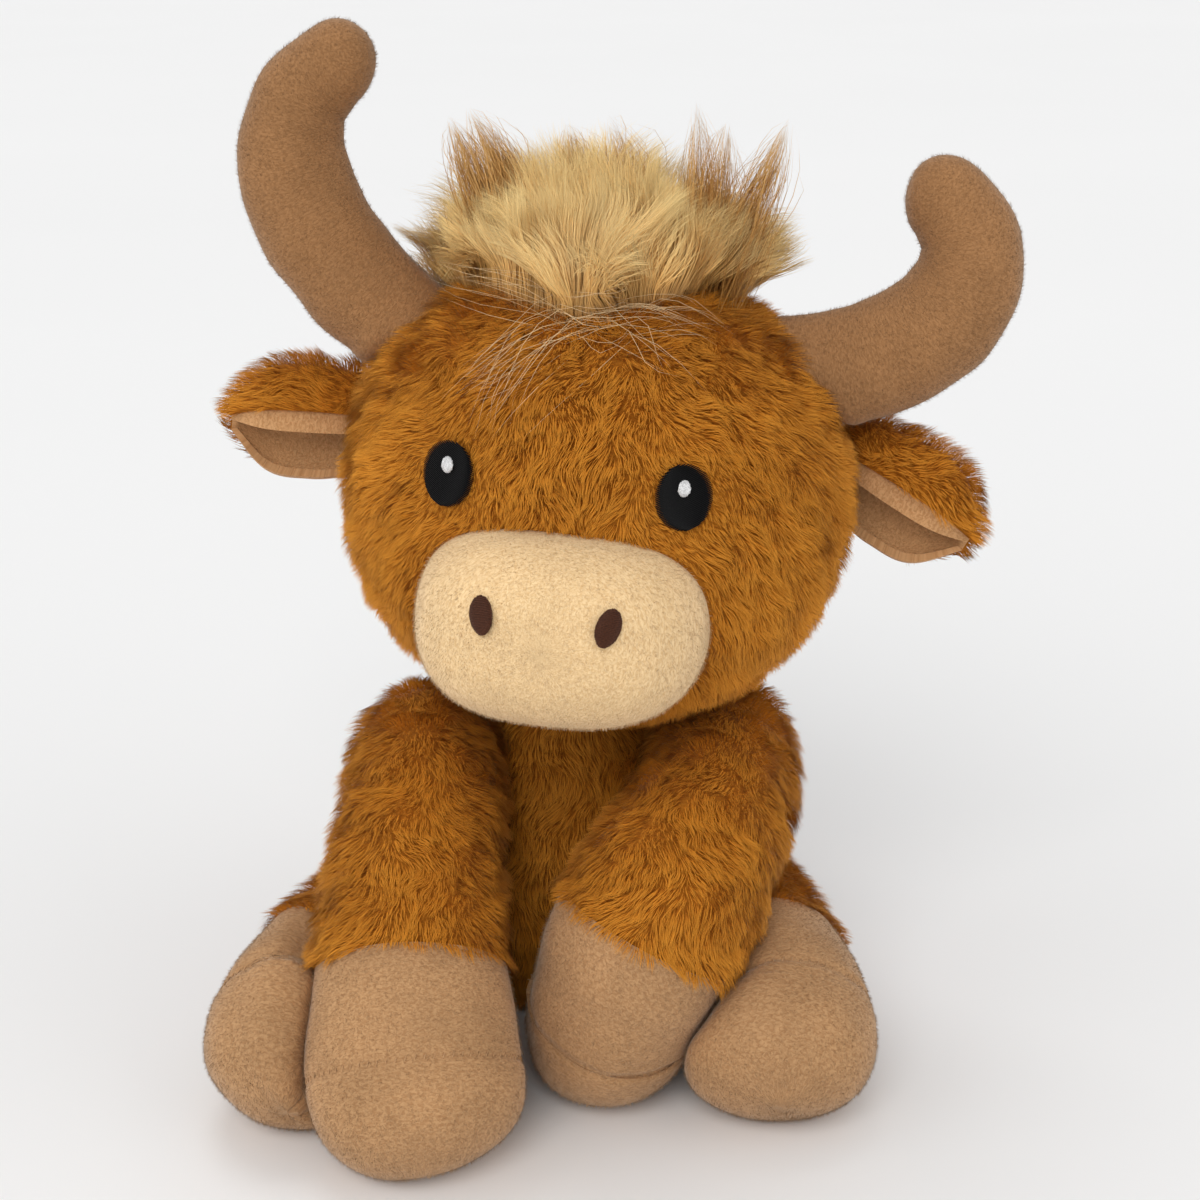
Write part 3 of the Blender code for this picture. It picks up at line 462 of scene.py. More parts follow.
def scatter(net, density, rng, is_open=False):
    """Roots spread evenly over a net, so many to a square metre. An open net isn't joined into a tube."""
    columns = net.columns - 1 if is_open else net.columns
    corner = net.points[:-1, :columns]
    right = np.roll(net.points, -1, 1)[:-1, :columns] - corner
    up = net.points[1:, :columns] - corner
    areas = np.linalg.norm(np.cross(right, up), axis=-1)
    count = int(areas.sum() * density * HAIR_SHARE)
    cells = rng.choice(areas.size, count, p=(areas / areas.sum()).ravel())
    row, column = np.divmod(cells, columns)
    after = (column + 1) % net.columns
    u, v = rng.random((count, 1)), rng.random((count, 1))

    def mixed(values):
        low = values[row, column] * (1 - u) + values[row, after] * u
        high = values[row + 1, column] * (1 - u) + values[row + 1, after] * u
        return low * (1 - v) + high * v

    stations = net.stations[row] * (1 - v[:, 0]) + net.stations[row + 1] * v[:, 0]
    return Roots(mixed(net.points), mixed(net.normals), mixed(net.along), mixed(net.around), stations)


COUNTING_WAY = Vector((0.31, 0.17, 0.93)).normalized()


def is_inside(tree, place):
    """Whether a ray from a place leaves the closed surface an odd number of times."""
    return len(crossings(tree, place, COUNTING_WAY)) % 2 == 1


def clearance(tree, points):
    """How far each point lies outside a closed surface, below zero inside it."""
    found = np.empty(len(points))
    for index, point in enumerate(points):
        place = Vector(point)
        nearest, normal, _, distance = tree.find_nearest(place)
        outside = (place - nearest).dot(normal) > 0 or not is_inside(tree, place)
        found[index] = distance if outside else -distance
    return found


NOISE_STEPS = (7.31, 3.17, 5.73)


def wander(points, size, seed):
    """A smooth random number from about -1 to 1 at each point, that changes over a given size."""
    shift = Vector([seed * step for step in NOISE_STEPS])
    return np.array([noise.noise(Vector(point) / size + shift) for point in points]) * 2


# %% Bending hairs along the comb and gathering them into locks
HAIR_POINTS = 3
FEWEST_LOCKS = 8
LOCK_BEND = 1.3
LOOSEST_SHARE = 0.55
TIP_SPREAD_SHARE = 0.5


def combed(roots, comb, lengths, first_lean, last_lean, steps=HAIR_POINTS):
    """The path of each hair. It leaves the cloth at one lean from upright and ends at another."""
    flat = unit(comb - roots.normals * (comb * roots.normals).sum(-1, keepdims=True))
    path = [roots.points]
    for step in range(steps - 1):
        lean = first_lean + (last_lean - first_lean) * step / max(steps - 2, 1)
        lean = np.broadcast_to(np.asarray(lean), lengths.shape)[:, None]
        direction = roots.normals * np.cos(lean) + flat * np.sin(lean)
        path.append(path[-1] + direction * (lengths / (steps - 1))[:, None])
    return np.stack(path, 1)


def gathered(paths, spacing, pull, rng):
    """Hairs drawn together into locks, more towards their tips. Returns the paths and each hair's lock."""
    area_each = spacing * spacing
    roots = paths[:, 0]
    box = roots.max(0) - roots.min(0)
    surface = box[0] * box[1] + box[1] * box[2] + box[0] * box[2]
    count = int(np.clip(surface * 2 / area_each, FEWEST_LOCKS, len(paths) / 3))
    chosen = rng.choice(len(paths), count, replace=False)
    finder = KDTree(count)
    for number, index in enumerate(chosen):
        finder.insert(Vector(roots[index]), number)
    finder.balance()
    lock = np.array([finder.find(Vector(root))[1] for root in roots])
    guide = paths[chosen[lock]]
    shares = np.linspace(0, 1, paths.shape[1]) ** LOCK_BEND
    amount = pull * shares[None, :, None] * rng.uniform(LOOSEST_SHARE, 1.0, (len(paths), 1, 1))
    target = guide + (paths - guide) * (1 - shares)[None, :, None] * TIP_SPREAD_SHARE
    return paths + (target - paths) * amount, lock


# %% Making the blades
BLADE_SHARES = (0.75, 1.0, 0.7, 0.0)
BLADE_THICKNESS = 0.00004
PILE_SHADING_SHARE = 0.72
NAP_SHADING_SHARE = 0.94
UNDER_SHADING_SHARE = 0.5
TEXTURE_EDGE = 0.02
TEXTURE_HALF_WIDTH = 0.004


def blades(
    name, paths, widths, facing, tones, material, body, slot, replaced=(), cloth_share=PILE_SHADING_SHARE
):
    """One mesh of narrow pointed blades along the paths, which rides on a body."""
    count, steps = paths.shape[:2]
    along = unit(np.gradient(paths, axis=1))
    across = unit(np.cross(along, facing[:, None]))
    shape = np.interp(np.linspace(0, 1, steps), np.linspace(0, 1, len(BLADE_SHARES)), BLADE_SHARES)
    half = across * (widths[:, None, None] * shape[None, :, None] / 2)
    flat = np.cross(across, along)
    upper = np.stack([paths - half, paths + half], 2)[:, :-1]
    under = upper - flat[:, :-1, None] * BLADE_THICKNESS
    rings = 2 * (steps - 1)
    points = np.concatenate([upper.reshape(count, -1, 3), under.reshape(count, -1, 3), paths[:, -1:]], 1)
    points[..., 2] = np.maximum(points[..., 2], FLOOR_CLEARANCE)
    per_hair = points.shape[1]
    corner_list, sizes = [], []
    for first, turn in ((0, 1), (rings, -1)):
        for step in range(steps - 2):
            low = first + 2 * step
            corner_list += [low, low + 1, low + 3, low + 2][::turn]
        corner_list += [first + rings - 2, first + rings - 1, per_hair - 1][::turn]
        sizes += [4] * (steps - 2) + [3]
    corner_list = np.array(corner_list)
    hair_starts = np.arange(count)[:, None] * per_hair
    loops = (hair_starts + corner_list[None]).ravel()
    starts = np.concatenate([[0], np.cumsum(np.tile(sizes, count))[:-1]])
    mesh = bpy.data.meshes.new(name)
    mesh.vertices.add(count * per_hair)
    mesh.loops.add(len(loops))
    mesh.polygons.add(len(starts))
    mesh.vertices.foreach_set("co", points.astype(np.float32).ravel())
    mesh.loops.foreach_set("vertex_index", loops.astype(np.int32))
    mesh.polygons.foreach_set("loop_start", starts.astype(np.int32))
    mesh.update(calc_edges=True)
    stretch = np.linspace(TEXTURE_EDGE, 1 - TEXTURE_EDGE, steps)
    side = np.array([-TEXTURE_HALF_WIDTH, TEXTURE_HALF_WIDTH])
    tones = np.clip(tones, TEXTURE_EDGE, 1 - TEXTURE_EDGE)[:, None]
    u = np.concatenate([tones + np.tile(side, rings), tones], 1)
    v = np.broadcast_to(np.concatenate([np.tile(np.repeat(stretch[:-1], 2), 2), stretch[-1:]]), u.shape)
    uv = np.stack([u, v], -1)[:, corner_list].reshape(-1)
    layer = mesh.uv_layers.new(name="OFBake")
    layer.data.foreach_set("uv", uv.astype(np.float32))
    shade = unit(facing[:, None] * cloth_share + flat * (1 - cloth_share))
    under_share = UNDER_SHADING_SHARE * cloth_share / PILE_SHADING_SHARE
    under_shade = unit(facing[:, None] * under_share - flat * (1 - under_share))
    rings_shade = [np.repeat(side[:, :-1], 2, 1) for side in (shade, under_shade)]
    shade = np.concatenate([*rings_shade, shade[:, -1:]], 1).reshape(-1, 3)
    mesh.shade_smooth()
    mesh.normals_split_custom_set_from_vertices(shade.tolist())
    mesh.materials.append(material)
    made = bpy.data.objects.new(name, mesh)
    scene.collection.objects.link(made)
    print(name, count, "hairs,", count * (2 * (steps - 2) + 1) * 2, "triangles")
    return dress(made, body, slot, *replaced)


# %% [markdown]
# ## Colours of the plush and the hair
#
# The pile is darkest at its roots, golden brown along its length and paler at its tips, and no two locks are
# quite the same. The dark roots are in part painted shade, where the hairs hide one another, and the pale
# tips in part painted light. Each blade carries its own tone and its own length as its place in the texture,
# so one ramp along the hair and one across the tones give the whole coat.


# %% Pile materials
def pile_material(name, root, middle, tip, dark_share, pale_share, roughness, sheen):
    """A pile whose colour runs from root to tip, and from a darker to a paler tone between hairs."""
    made, shader, tree = principled(name, roughness)
    place = node(tree, "ShaderNodeUVMap", {"uv_map": "OFBake"})
    split = node(tree, "ShaderNodeSeparateXYZ", Vector=place.outputs["UV"])
    # Darker at the root is in part painted shade, where the hairs hide one another, and paler at the tip in
    # part painted light.
    length = colours(tree, split.outputs["Y"], (0.0, root), (0.45, middle), (1.0, tip))
    tone = node(
        tree, "ShaderNodeMapRange", Value=split.outputs["X"], To_Min=dark_share, To_Max=pale_share
    ).outputs["Result"]
    tinted = node(tree, "ShaderNodeVectorMath", {"operation": "SCALE"}, Vector=length, Scale=tone)
    tree.links.new(tinted.outputs["Vector"], shader.inputs["Base Color"])
    shader.inputs["Sheen Weight"].default_value = sheen
    shader.inputs["Sheen Roughness"].default_value = 0.5
    shader.inputs["Sheen Tint"].default_value = (1.0, 0.85, 0.65, 1)
    shader.inputs["Specular IOR Level"].default_value = 0.2
    return made


PLUSH_PILE = pile_material(
    "plush_pile", (0.38, 0.115, 0.007), (0.59, 0.200, 0.012), (0.80, 0.335, 0.036), 0.78, 1.18, 0.8, 0.05
)
HAIR_PILE = pile_material(
    "blond_hair", (0.46, 0.22, 0.06), (0.88, 0.51, 0.16), (0.99, 0.75, 0.34), 0.66, 1.20, 0.42, 0.05
)
PALE_HAIR_PILE = pile_material(
    "pale_hair", (0.66, 0.44, 0.20), (0.86, 0.62, 0.34), (0.95, 0.74, 0.46), 0.85, 1.05, 0.5, 0.1
)
BROWN_HAIR_PILE = pile_material(
    "brown_hair", (0.40, 0.17, 0.03), (0.68, 0.35, 0.095), (0.85, 0.52, 0.19), 0.72, 1.18, 0.55, 0.05
)
TAN_NAP = pile_material(
    "tan_nap", (0.25, 0.12, 0.046), (0.345, 0.172, 0.073), (0.45, 0.25, 0.115), 0.9, 1.1, 0.85, 0.3
)
# A lighter copy of the tan nap on the horns: the extra lightness is painted light, against the shade in the
# ear's cup.
EAR_NAP_PAINTED_LIGHT = pile_material(
    "ear_nap_painted_light", (0.46, 0.23, 0.09), (0.62, 0.345, 0.155), (0.74, 0.45, 0.23), 0.9, 1.1, 0.85, 0.3
)
HOOF_NAP = pile_material(
    "hoof_nap", (0.34, 0.17, 0.073), (0.48, 0.27, 0.13), (0.60, 0.37, 0.20), 0.9, 1.1, 0.85, 0.3
)
CREAM_NAP = pile_material(
    "cream_nap", (0.74, 0.47, 0.22), (0.90, 0.64, 0.36), (0.97, 0.77, 0.50), 0.94, 1.06, 0.85, 0.1
)
print("eight pile materials")


# %% Cloth materials
TUFTS_TO_A_METRE = (900, 1700, 1)
SLOW_TONE_SCALE = 55.0
TUFT_HEIGHT = 0.0004


def cloth_material(name, valley, ridge, tone_spread, bump, roughness):
    """A knitted velvet: short wavy rows of tufts, paler on their backs and darker between them, which is
    painted light and shade, with slow changes of tone.
    """
    made, shader, tree = principled(name, roughness)
    place = node(tree, "ShaderNodeUVMap", {"uv_map": "cloth"})
    rows = node(tree, "ShaderNodeMapping", Vector=place.outputs["UV"], Scale=TUFTS_TO_A_METRE)
    tufts = node(
        tree,
        "ShaderNodeTexNoise",
        {"noise_dimensions": "2D"},
        Vector=rows.outputs["Vector"],
        Scale=1.0,
        Detail=2.0,
        Distortion=0.6,
    )
    space = node(tree, "ShaderNodeTexCoord")
    slow = node(tree, "ShaderNodeTexNoise", Vector=space.outputs["Object"], Scale=SLOW_TONE_SCALE, Detail=3.0)
    # The tufts' valleys are painted darker and their backs paler, as shade and light, from the same heights
    # as the bump.
    colour = colours(tree, tufts.outputs["Fac"], (0.34, valley), (0.62, ridge))
    tone = node(
        tree,
        "ShaderNodeMapRange",
        Value=slow.outputs["Fac"],
        From_Min=0.3,
        From_Max=0.7,
        To_Min=1 - tone_spread,
        To_Max=1 + tone_spread,
    )
    share = tone.outputs["Result"]
    tinted = node(tree, "ShaderNodeVectorMath", {"operation": "SCALE"}, Vector=colour, Scale=share)
    tree.links.new(tinted.outputs["Vector"], shader.inputs["Base Color"])
    raised = node(tree, "ShaderNodeBump", Strength=bump, Distance=TUFT_HEIGHT, Height=tufts.outputs["Fac"])
    tree.links.new(raised.outputs["Normal"], shader.inputs["Normal"])
    shader.inputs["Sheen Weight"].default_value = 0.35
    shader.inputs["Sheen Roughness"].default_value = 0.4
    shader.inputs["Sheen Tint"].default_value = (1.0, 0.9, 0.78, 1)
    shader.inputs["Specular IOR Level"].default_value = 0.15
    return made


PLUSH_BACKING = cloth_material("plush_backing", (0.30, 0.10, 0.007), (0.42, 0.15, 0.012), 0.15, 0.3, 0.95)
HORN_VELVET = cloth_material("horn_velvet", (0.27, 0.13, 0.050), (0.36, 0.18, 0.075), 0.09, 0.6, 0.9)
# A lighter copy of the horns' tan velvet: the extra lightness is painted light, against the shade in the
# ear's cup.
EAR_VELVET_PAINTED_LIGHT = cloth_material("ear_velvet_painted_light", (0.48, 0.245, 0.10), (0.63, 0.35, 0.16), 0.09, 0.6, 0.9)
HOOF_VELVET = cloth_material("hoof_velvet", (0.38, 0.20, 0.088), (0.50, 0.285, 0.135), 0.10, 0.6, 0.9)
MUZZLE_VELVET = cloth_material("muzzle_velvet", (0.74, 0.49, 0.24), (0.90, 0.65, 0.36), 0.04, 0.6, 0.9)
print("five cloths")


# %% [markdown]
# ## Torso
#
# The torso is a soft pear that sits on its pellet bag and ends in the round top under the head. Its rows are
# level rings that are drawn over the stuffing and the bag, and across the rooms that the legs are sewn into.
# Its pile hangs down. Where a leg or the head presses on it the pile has no room, so hairs there are
# shortened, or left out.

# %% Torso net
NECK = joint_places["neck_nod"]
TORSO_COLUMNS = 144
TORSO_ROWS = 76
DOME_ROWS = 10
DOME_LAST_ANGLE = math.radians(84)
DOME_STATION = 0.03
SEAT_LEVEL = 0.0023
SEAT_HEIGHT = 0.003
SEAT_ANGLES = np.radians((-80, -55, -30, -16, -9, -6, -4, -2))
TORSO_SMOOTHING = (1.7, 3.0)
PLUSH_FILL = 0.8
LEGS = ("right_foreleg", "left_foreleg", "right_hind_leg", "left_hind_leg")
ROOM_REACH = 0.0042
CLOSING_PASSES = 1500


def closed_over(values, rooms):
    """The values of a net, with those in its rooms drawn tight from the values round them."""
    result = np.where(rooms, values[~rooms].mean(), values)
    for _ in range(CLOSING_PASSES):
        above = np.concatenate([result[:1], result[:-1]])
        below = np.concatenate([result[1:], result[-1:]])
        mean = (above + below + np.roll(result, 1, 1) + np.roll(result, -1, 1)) / 4
        result = np.where(rooms, mean, result)
    return result


def level_net(tree, limbs, middle, low, high, rows, columns, dome_rows, smooth):
    """A net of level rings over an upright form, closed over limbs' rooms, with a round top and a seat."""
    turns = np.linspace(0, 2 * math.pi, columns, endpoint=False)
    ring = np.stack([np.cos(turns), np.sin(turns), np.zeros(columns)], -1)
    up = np.array([0.0, 0.0, 1.0])
    origins, directions, stations = [], [], []
    for angle in SEAT_ANGLES:
        origins.append(np.array([*middle[:2], low + SEAT_HEIGHT]))
        directions.append(ring * math.cos(angle) + up * math.sin(angle))
        stations.append(low + SEAT_HEIGHT * math.sin(angle))
    for height in np.linspace(low + SEAT_HEIGHT, high, rows):
        origins.append(np.array([*middle[:2], height]))
        directions.append(ring)
        stations.append(height)
    for angle in np.linspace(0, DOME_LAST_ANGLE, dome_rows + 1)[1:]:
        origins.append(np.array([*middle[:2], high]))
        directions.append(ring * math.cos(angle) + up * math.sin(angle))
        stations.append(high + angle * DOME_STATION)
    directions = np.array(directions)
    origins = np.broadcast_to(np.array(origins)[:, None], directions.shape)
    reach = reach_of(tree, origins, directions)
    points = (origins + directions * reach[..., None]).reshape(-1, 3)
    rooms = clearance(limbs, points).reshape(reach.shape) < ROOM_REACH
    reach = np.maximum(closed_over(reach, rooms), reach)
    reach[len(SEAT_ANGLES) :] = draped(reach[len(SEAT_ANGLES) :], smooth)
    return Net(origins + directions * reach[..., None], np.array(stations))


torso_tree = tree_of("torso_stuffing", "pellet_bag")
leg_tree = tree_of(*(f"{leg}_stuffing" for leg in LEGS))
torso_net = level_net(
    torso_tree, leg_tree, NECK, SEAT_LEVEL, NECK[2], TORSO_ROWS, TORSO_COLUMNS, DOME_ROWS, TORSO_SMOOTHING
)


def backing(name, net, closed_last=True):
    """The knitted cloth that the pile grows from, over a net."""
    outer = net.lifted(SKIN_LIFT + SKIN_THICKNESS)
    return sheath(name, outer, net.lifted(UNDERSIDE_LIFT), PLUSH_BACKING, True, closed_last)


dress(backing("torso_skin", torso_net), "torso", "golden_plush", "torso_cover", fill=PLUSH_FILL)
print("torso net", torso_net.rows, "rows of", torso_net.columns)

# %% What is in the way of the pile
PILE_LENGTH = 0.0080
PILE_WIDTH = 0.000213
SHORTEST_PILE = 0.0025
FREE_SHARE = 1.1
PRESSED_DEPTH = 0.0005
STUFFED = {
    "torso": ("torso_stuffing", "pellet_bag"),
    "head": ("head_stuffing", "muzzle_stuffing"),
    **{leg: (f"{leg}_stuffing",) for leg in LEGS},
}


def trimmed(roots, lengths, body):
    """Pile lengths cut down where another body lies close, and which roots are left."""
    free = np.full(len(lengths), np.inf)
    for other, names in STUFFED.items():
        if other != body:
            free = np.minimum(free, clearance(tree_of(*names), roots.points) - COVER_LIFT)
    cut = np.minimum(lengths, SHORTEST_PILE + np.maximum(free, 0) * FREE_SHARE)
    return cut, free > -PRESSED_DEPTH


# %% A coat of pile
COAT_LEANS = (0.35, 1.00)
LENGTH_SHARES = (0.72, 1.12)
WIDTH_SHARES = (0.7, 1.3)
SWIRL_SIZES = (0.014, 0.0052)
SWIRL_TURNS = (0.60, 0.50)
LIFT_SIZE = 0.008
LIFT_TURN = 0.30
TONE_SIZE = 0.02
TONE_WANDER = 0.10
WIDE_LOCK_TONE = 0.05
NARROW_LOCK_TONE = 0.07
HAIR_TONE = 0.09
COMB_STRAY = 0.20
LOCK_SIZE = 0.0022
LOCK_PULL = 0.45
WIDE_LOCK_SHARES = (2.2, 0.6)


def hair_widths(width, count, rng, shares=WIDTH_SHARES):
    return width * rng.uniform(*shares, count) / math.sqrt(HAIR_SHARE)


def coat(
    name, net, body, density, rng, comb_of,
    length=PILE_LENGTH, keep_of=None, length_of=None, leans=COAT_LEANS, roots=None,
):
    """A coat of pile over a net: scattered, trimmed, combed, gathered into locks and made into blades."""
    roots = roots or scatter(net, density, rng)
    if keep_of is not None:
        roots = roots.where(keep_of(roots))
    lengths = length * rng.uniform(*LENGTH_SHARES, len(roots.points))
    if length_of is not None:
        lengths = np.minimum(lengths, length_of(roots))
    lengths, left = trimmed(roots, lengths, body)
    roots, lengths = roots.where(left), lengths[left]
    comb = comb_of(roots)
    swirl = wander(roots.points, SWIRL_SIZES[0], 3) * SWIRL_TURNS[0]
    swirl = swirl + wander(roots.points, SWIRL_SIZES[1], 4) * SWIRL_TURNS[1]
    side = np.cross(roots.normals, comb)
    comb = comb * np.cos(swirl)[:, None] + side * np.sin(swirl)[:, None]
    comb = comb + rng.normal(0, COMB_STRAY, comb.shape)
    lift = wander(roots.points, LIFT_SIZE, 5) * LIFT_TURN
    paths = combed(roots, comb, lengths, leans[0] + lift, leans[1] + lift)
    paths, locks = gathered(paths, LOCK_SIZE * WIDE_LOCK_SHARES[0], LOCK_PULL * WIDE_LOCK_SHARES[1], rng)
    paths, small = gathered(paths, LOCK_SIZE, LOCK_PULL, rng)
    tones = 0.5 + wander(roots.points, TONE_SIZE, 6) * TONE_WANDER
    tones += rng.normal(0, WIDE_LOCK_TONE, locks.max() + 1)[locks]
    tones += rng.normal(0, NARROW_LOCK_TONE, small.max() + 1)[small]
    tones += rng.normal(0, HAIR_TONE, len(tones))
    widths = hair_widths(PILE_WIDTH, len(tones), rng)
    return blades(name, paths, widths, roots.normals, tones, PLUSH_PILE, body, "golden_plush")


DOWN = np.array([0.0, 0.0, -1.0])
FRONT = np.array([0.0, -1.0, 0.0])


def hanging(roots):
    """Pile that hangs straight down."""
    return np.broadcast_to(DOWN, roots.points.shape)


# %% Torso pile
TORSO_DENSITY = 2.1e6
rng = np.random.default_rng(11)
surface = torso_net.lifted(SKIN_LIFT)
halves = {
    "chest_pile": lambda roots: roots.points[:, 1] < NECK[1],
    "back_pile": lambda roots: roots.points[:, 1] >= NECK[1],
}
for name, keep in halves.items():
    coat(name, surface, "torso", TORSO_DENSITY, rng, hanging, keep_of=keep)

# %% [markdown]
# ## Head
#
# The head is a wide soft ball, a little narrower at the chin, with its own turn and tilt. Rays from its
# middle find the stuffing. Where the muzzle, the ears or the neck have their rooms in it, the net is drawn
# tight from the cloth round them, so that no hollow shows beside what is sewn in there.

# %% Head net
HEAD_MIDDLE = np.array([0.00604, -0.0082, 0.1699])
HEAD_TURN = Matrix.Rotation(math.radians(-7), 3, "Z") @ Matrix.Rotation(math.radians(-6), 3, "X")
HEAD_TURN = np.array(HEAD_TURN @ Matrix.Rotation(math.radians(3.5), 3, "Y"))
HEAD_ROWS = 90
HEAD_COLUMNS = 128
HEAD_LAST_LIFT = math.radians(87)
HEAD_RADIUS = 0.07
HEAD_SMOOTHING = (1.6, 2.0)


def from_head(points):
    """World places of points given in the head's own frame."""
    return np.asarray(points) @ HEAD_TURN.T + HEAD_MIDDLE


def to_head(points):
    """Places in the head's own frame."""
    return (np.asarray(points) - HEAD_MIDDLE) @ HEAD_TURN


head_tree = tree_of("head_stuffing")
lifts = np.linspace(-HEAD_LAST_LIFT, HEAD_LAST_LIFT, HEAD_ROWS)
turns = np.linspace(0, 2 * math.pi, HEAD_COLUMNS, endpoint=False)
directions = np.stack(
    [
        np.cos(lifts)[:, None] * np.cos(turns),
        np.cos(lifts)[:, None] * np.sin(turns),
        np.broadcast_to(np.sin(lifts)[:, None], (HEAD_ROWS, HEAD_COLUMNS)),
    ],
    -1,
)
directions = directions @ HEAD_TURN.T
origins = np.broadcast_to(HEAD_MIDDLE, directions.shape)
reach = reach_of(head_tree, origins, directions)
muzzle_tree = tree_of("muzzle_stuffing")
ear_tree = tree_of("right_ear_back", "left_ear_back")
neck_tree = tree_of("torso_stuffing")
points = (origins + directions * reach[..., None]).reshape(-1, 3)
open_rooms = np.minimum(clearance(muzzle_tree, points), clearance(ear_tree, points))
open_rooms = np.minimum(open_rooms, clearance(neck_tree, points)).reshape(reach.shape) < ROOM_REACH
closed = closed_over(reach, open_rooms)
smoothed = np.maximum(blurred(closed, *HEAD_SMOOTHING), closed - SMOOTHING_SINK)
reach = np.maximum(np.where(open_rooms, closed, smoothed), reach - DEEPEST_SINK)
head_net = Net(origins + directions * reach[..., None], lifts * HEAD_RADIUS)
dress(backing("head_skin", head_net), "head", "golden_plush", "head_cover", fill=PLUSH_FILL)
print("head net", head_net.rows, "rows of", head_net.columns)

# %% Where the head's pile grows, how long it is and which way it lies
MUZZLE_MIDDLE = np.array([-0.00189, -0.03798, -0.02706])
horn_tree = tree_of("right_horn_stuffing", "left_horn_stuffing")
eye_tree = tree_of("right_eye", "left_eye")
MUZZLE_ROOM = 0.0024
HORN_ROOM = 0.0022
EYE_ROOM = 0.0004
EAR_ROOM = 0.0010
NECK_LEVEL = -0.064
LEAST_OUTWARD = 0.35
EYE_PILE = 0.0026
EYE_PILE_FROM = 0.0010
EYE_PILE_SHARE = 0.55
MUZZLE_PILE = 0.0030
MUZZLE_PILE_SHARE = 0.9
CHEEK_REACH = 0.075
CHEEK_SHARE = 0.9
NAPE_SHARE = 0.3


def head_keep(roots):
    """No pile under the muzzle, the eyes, the horns and the ears, or in the pocket for the neck."""
    clear = clearance(muzzle_tree, roots.points) > MUZZLE_ROOM
    clear &= clearance(horn_tree, roots.points) > HORN_ROOM
    clear &= clearance(eye_tree, roots.points) > EYE_ROOM
    clear &= clearance(ear_tree, roots.points) > EAR_ROOM
    own = to_head(roots.points)
    outward = (roots.normals * unit(roots.points - HEAD_MIDDLE)).sum(-1)
    return clear & (outward > LEAST_OUTWARD) & (own[:, 2] > NECK_LEVEL)


def head_length(roots):
    """Shorter pile round the eyes and the muzzle."""
    eyes = EYE_PILE + (clearance(eye_tree, roots.points) - EYE_PILE_FROM) * EYE_PILE_SHARE
    muzzle = MUZZLE_PILE + (clearance(muzzle_tree, roots.points) - MUZZLE_ROOM) * MUZZLE_PILE_SHARE
    return np.minimum(eyes, muzzle)


def head_comb(roots):
    """Pile brushed down the face and outwards over the cheeks."""
    own = to_head(roots.points)
    way = np.zeros_like(own)
    way[:, 2] = -1.0
    way[:, 0] = own[:, 0] / CHEEK_REACH * CHEEK_SHARE
    way[:, 1] = np.where(own[:, 1] > 0, NAPE_SHARE, 0.0)
    return unit(way @ HEAD_TURN.T)


# %% Head pile
HEAD_DENSITY = 2.7e6
FACE_DEPTH = -0.02
NAPE_DEPTH = 0.025
CHIN_HEIGHT = -0.01
rng = np.random.default_rng(12)
panels = {
    "face_pile": lambda x, y, z: (y < FACE_DEPTH) & (z > CHIN_HEIGHT),
    "chin_pile": lambda x, y, z: (y < FACE_DEPTH) & (z <= CHIN_HEIGHT),
    "right_cheek_pile": lambda x, y, z: (y >= FACE_DEPTH) & (y < NAPE_DEPTH) & (x < 0),
    "left_cheek_pile": lambda x, y, z: (y >= FACE_DEPTH) & (y < NAPE_DEPTH) & (x >= 0),
    "nape_pile": lambda x, y, z: y >= NAPE_DEPTH,
}
surface = head_net.lifted(SKIN_LIFT)
for name, inside in panels.items():
    coat(
        name,
        surface,
        "head",
        HEAD_DENSITY,
        rng,
        head_comb,
        keep_of=lambda roots, inside=inside: inside(*to_head(roots.points).T) & head_keep(roots),
        length_of=head_length,
    )

# %% [markdown]
# ## Legs
#
# Each leg is one stuffed tube in three cloths: a plush sleeve, a velvet cuff and a velvet cap, which is
# gathered at its end. The line down the middle of each leg is the one that the solid was made along. Where
# the cuff meets the cap, the seam pulls both of them in, and small stitches cross it.

# %% Leg lines and lengths
LEG_LINES = {
    "right_foreleg": (
        (-0.046, -0.00985, 0.08601),
        (-0.046, -0.04147, 0.07827),
        (-0.05212, -0.07615, 0.05032),
        (-0.0409, -0.11185, 0.00301),
    ),
    "left_foreleg": (
        (0.045, -0.00985, 0.08601),
        (0.045, -0.05779, 0.08386),
        (0.00828, -0.08941, 0.06021),
        (0.00726, -0.05371, 0.00301),
    ),
    "right_hind_leg": (
        (-0.04, 0.0059, 0.03008),
        (-0.06704, -0.02842, 0.03008),
        (-0.07952, -0.06274, 0.03459),
        (-0.08004, -0.09706, 0.01203),
    ),
    "left_hind_leg": (
        (0.04, 0.0059, 0.03008),
        (0.05456, -0.02842, 0.03008),
        (0.05924, -0.0617, 0.03459),
        (0.05716, -0.09394, 0.01203),
    ),
}
HOOF_LENGTHS = {"foreleg": (0.058, 0.029), "hind_leg": (0.052, 0.030)}
ROOT_RADIUS = 0.0225
CAP_STRAIGHT_SHARE = 0.25
LEG_COLUMNS = 72
ROW_STEP = 0.0016
SEAM_ROW_STEP = 0.0005
SEAM_REACH = 0.0045
SIDEWAYS = np.array([1.0, 0.0, 0.0])


def line_length(line):
    """The length of a Bezier line."""
    points = bezier(line, np.linspace(0, 1, LINE_STEPS))
    return float(np.linalg.norm(np.diff(points, axis=0), axis=1).sum())


def stations_with_seams(last, seams):
    """Distances along a limb, close together round its seams."""
    marks = set(np.round(np.arange(0, last, ROW_STEP), 6))
    for seam in seams:
        near = np.arange(seam - SEAM_REACH, seam + SEAM_REACH, SEAM_ROW_STEP)
        marks |= set(np.round(near, 6))
        marks.add(seam)
    return np.array(sorted(mark for mark in marks if 0 <= mark <= last))


TUCK_DEPTH = 0.0006
TUCK_REACH = 0.0012
PUCKER_DEPTH = 0.00018
PUCKER_REACH = 0.006
PUCKER_SIZE = 0.0042
HOLLOW_SIZE = 0.017
HOLLOW_DEPTH = 0.0005


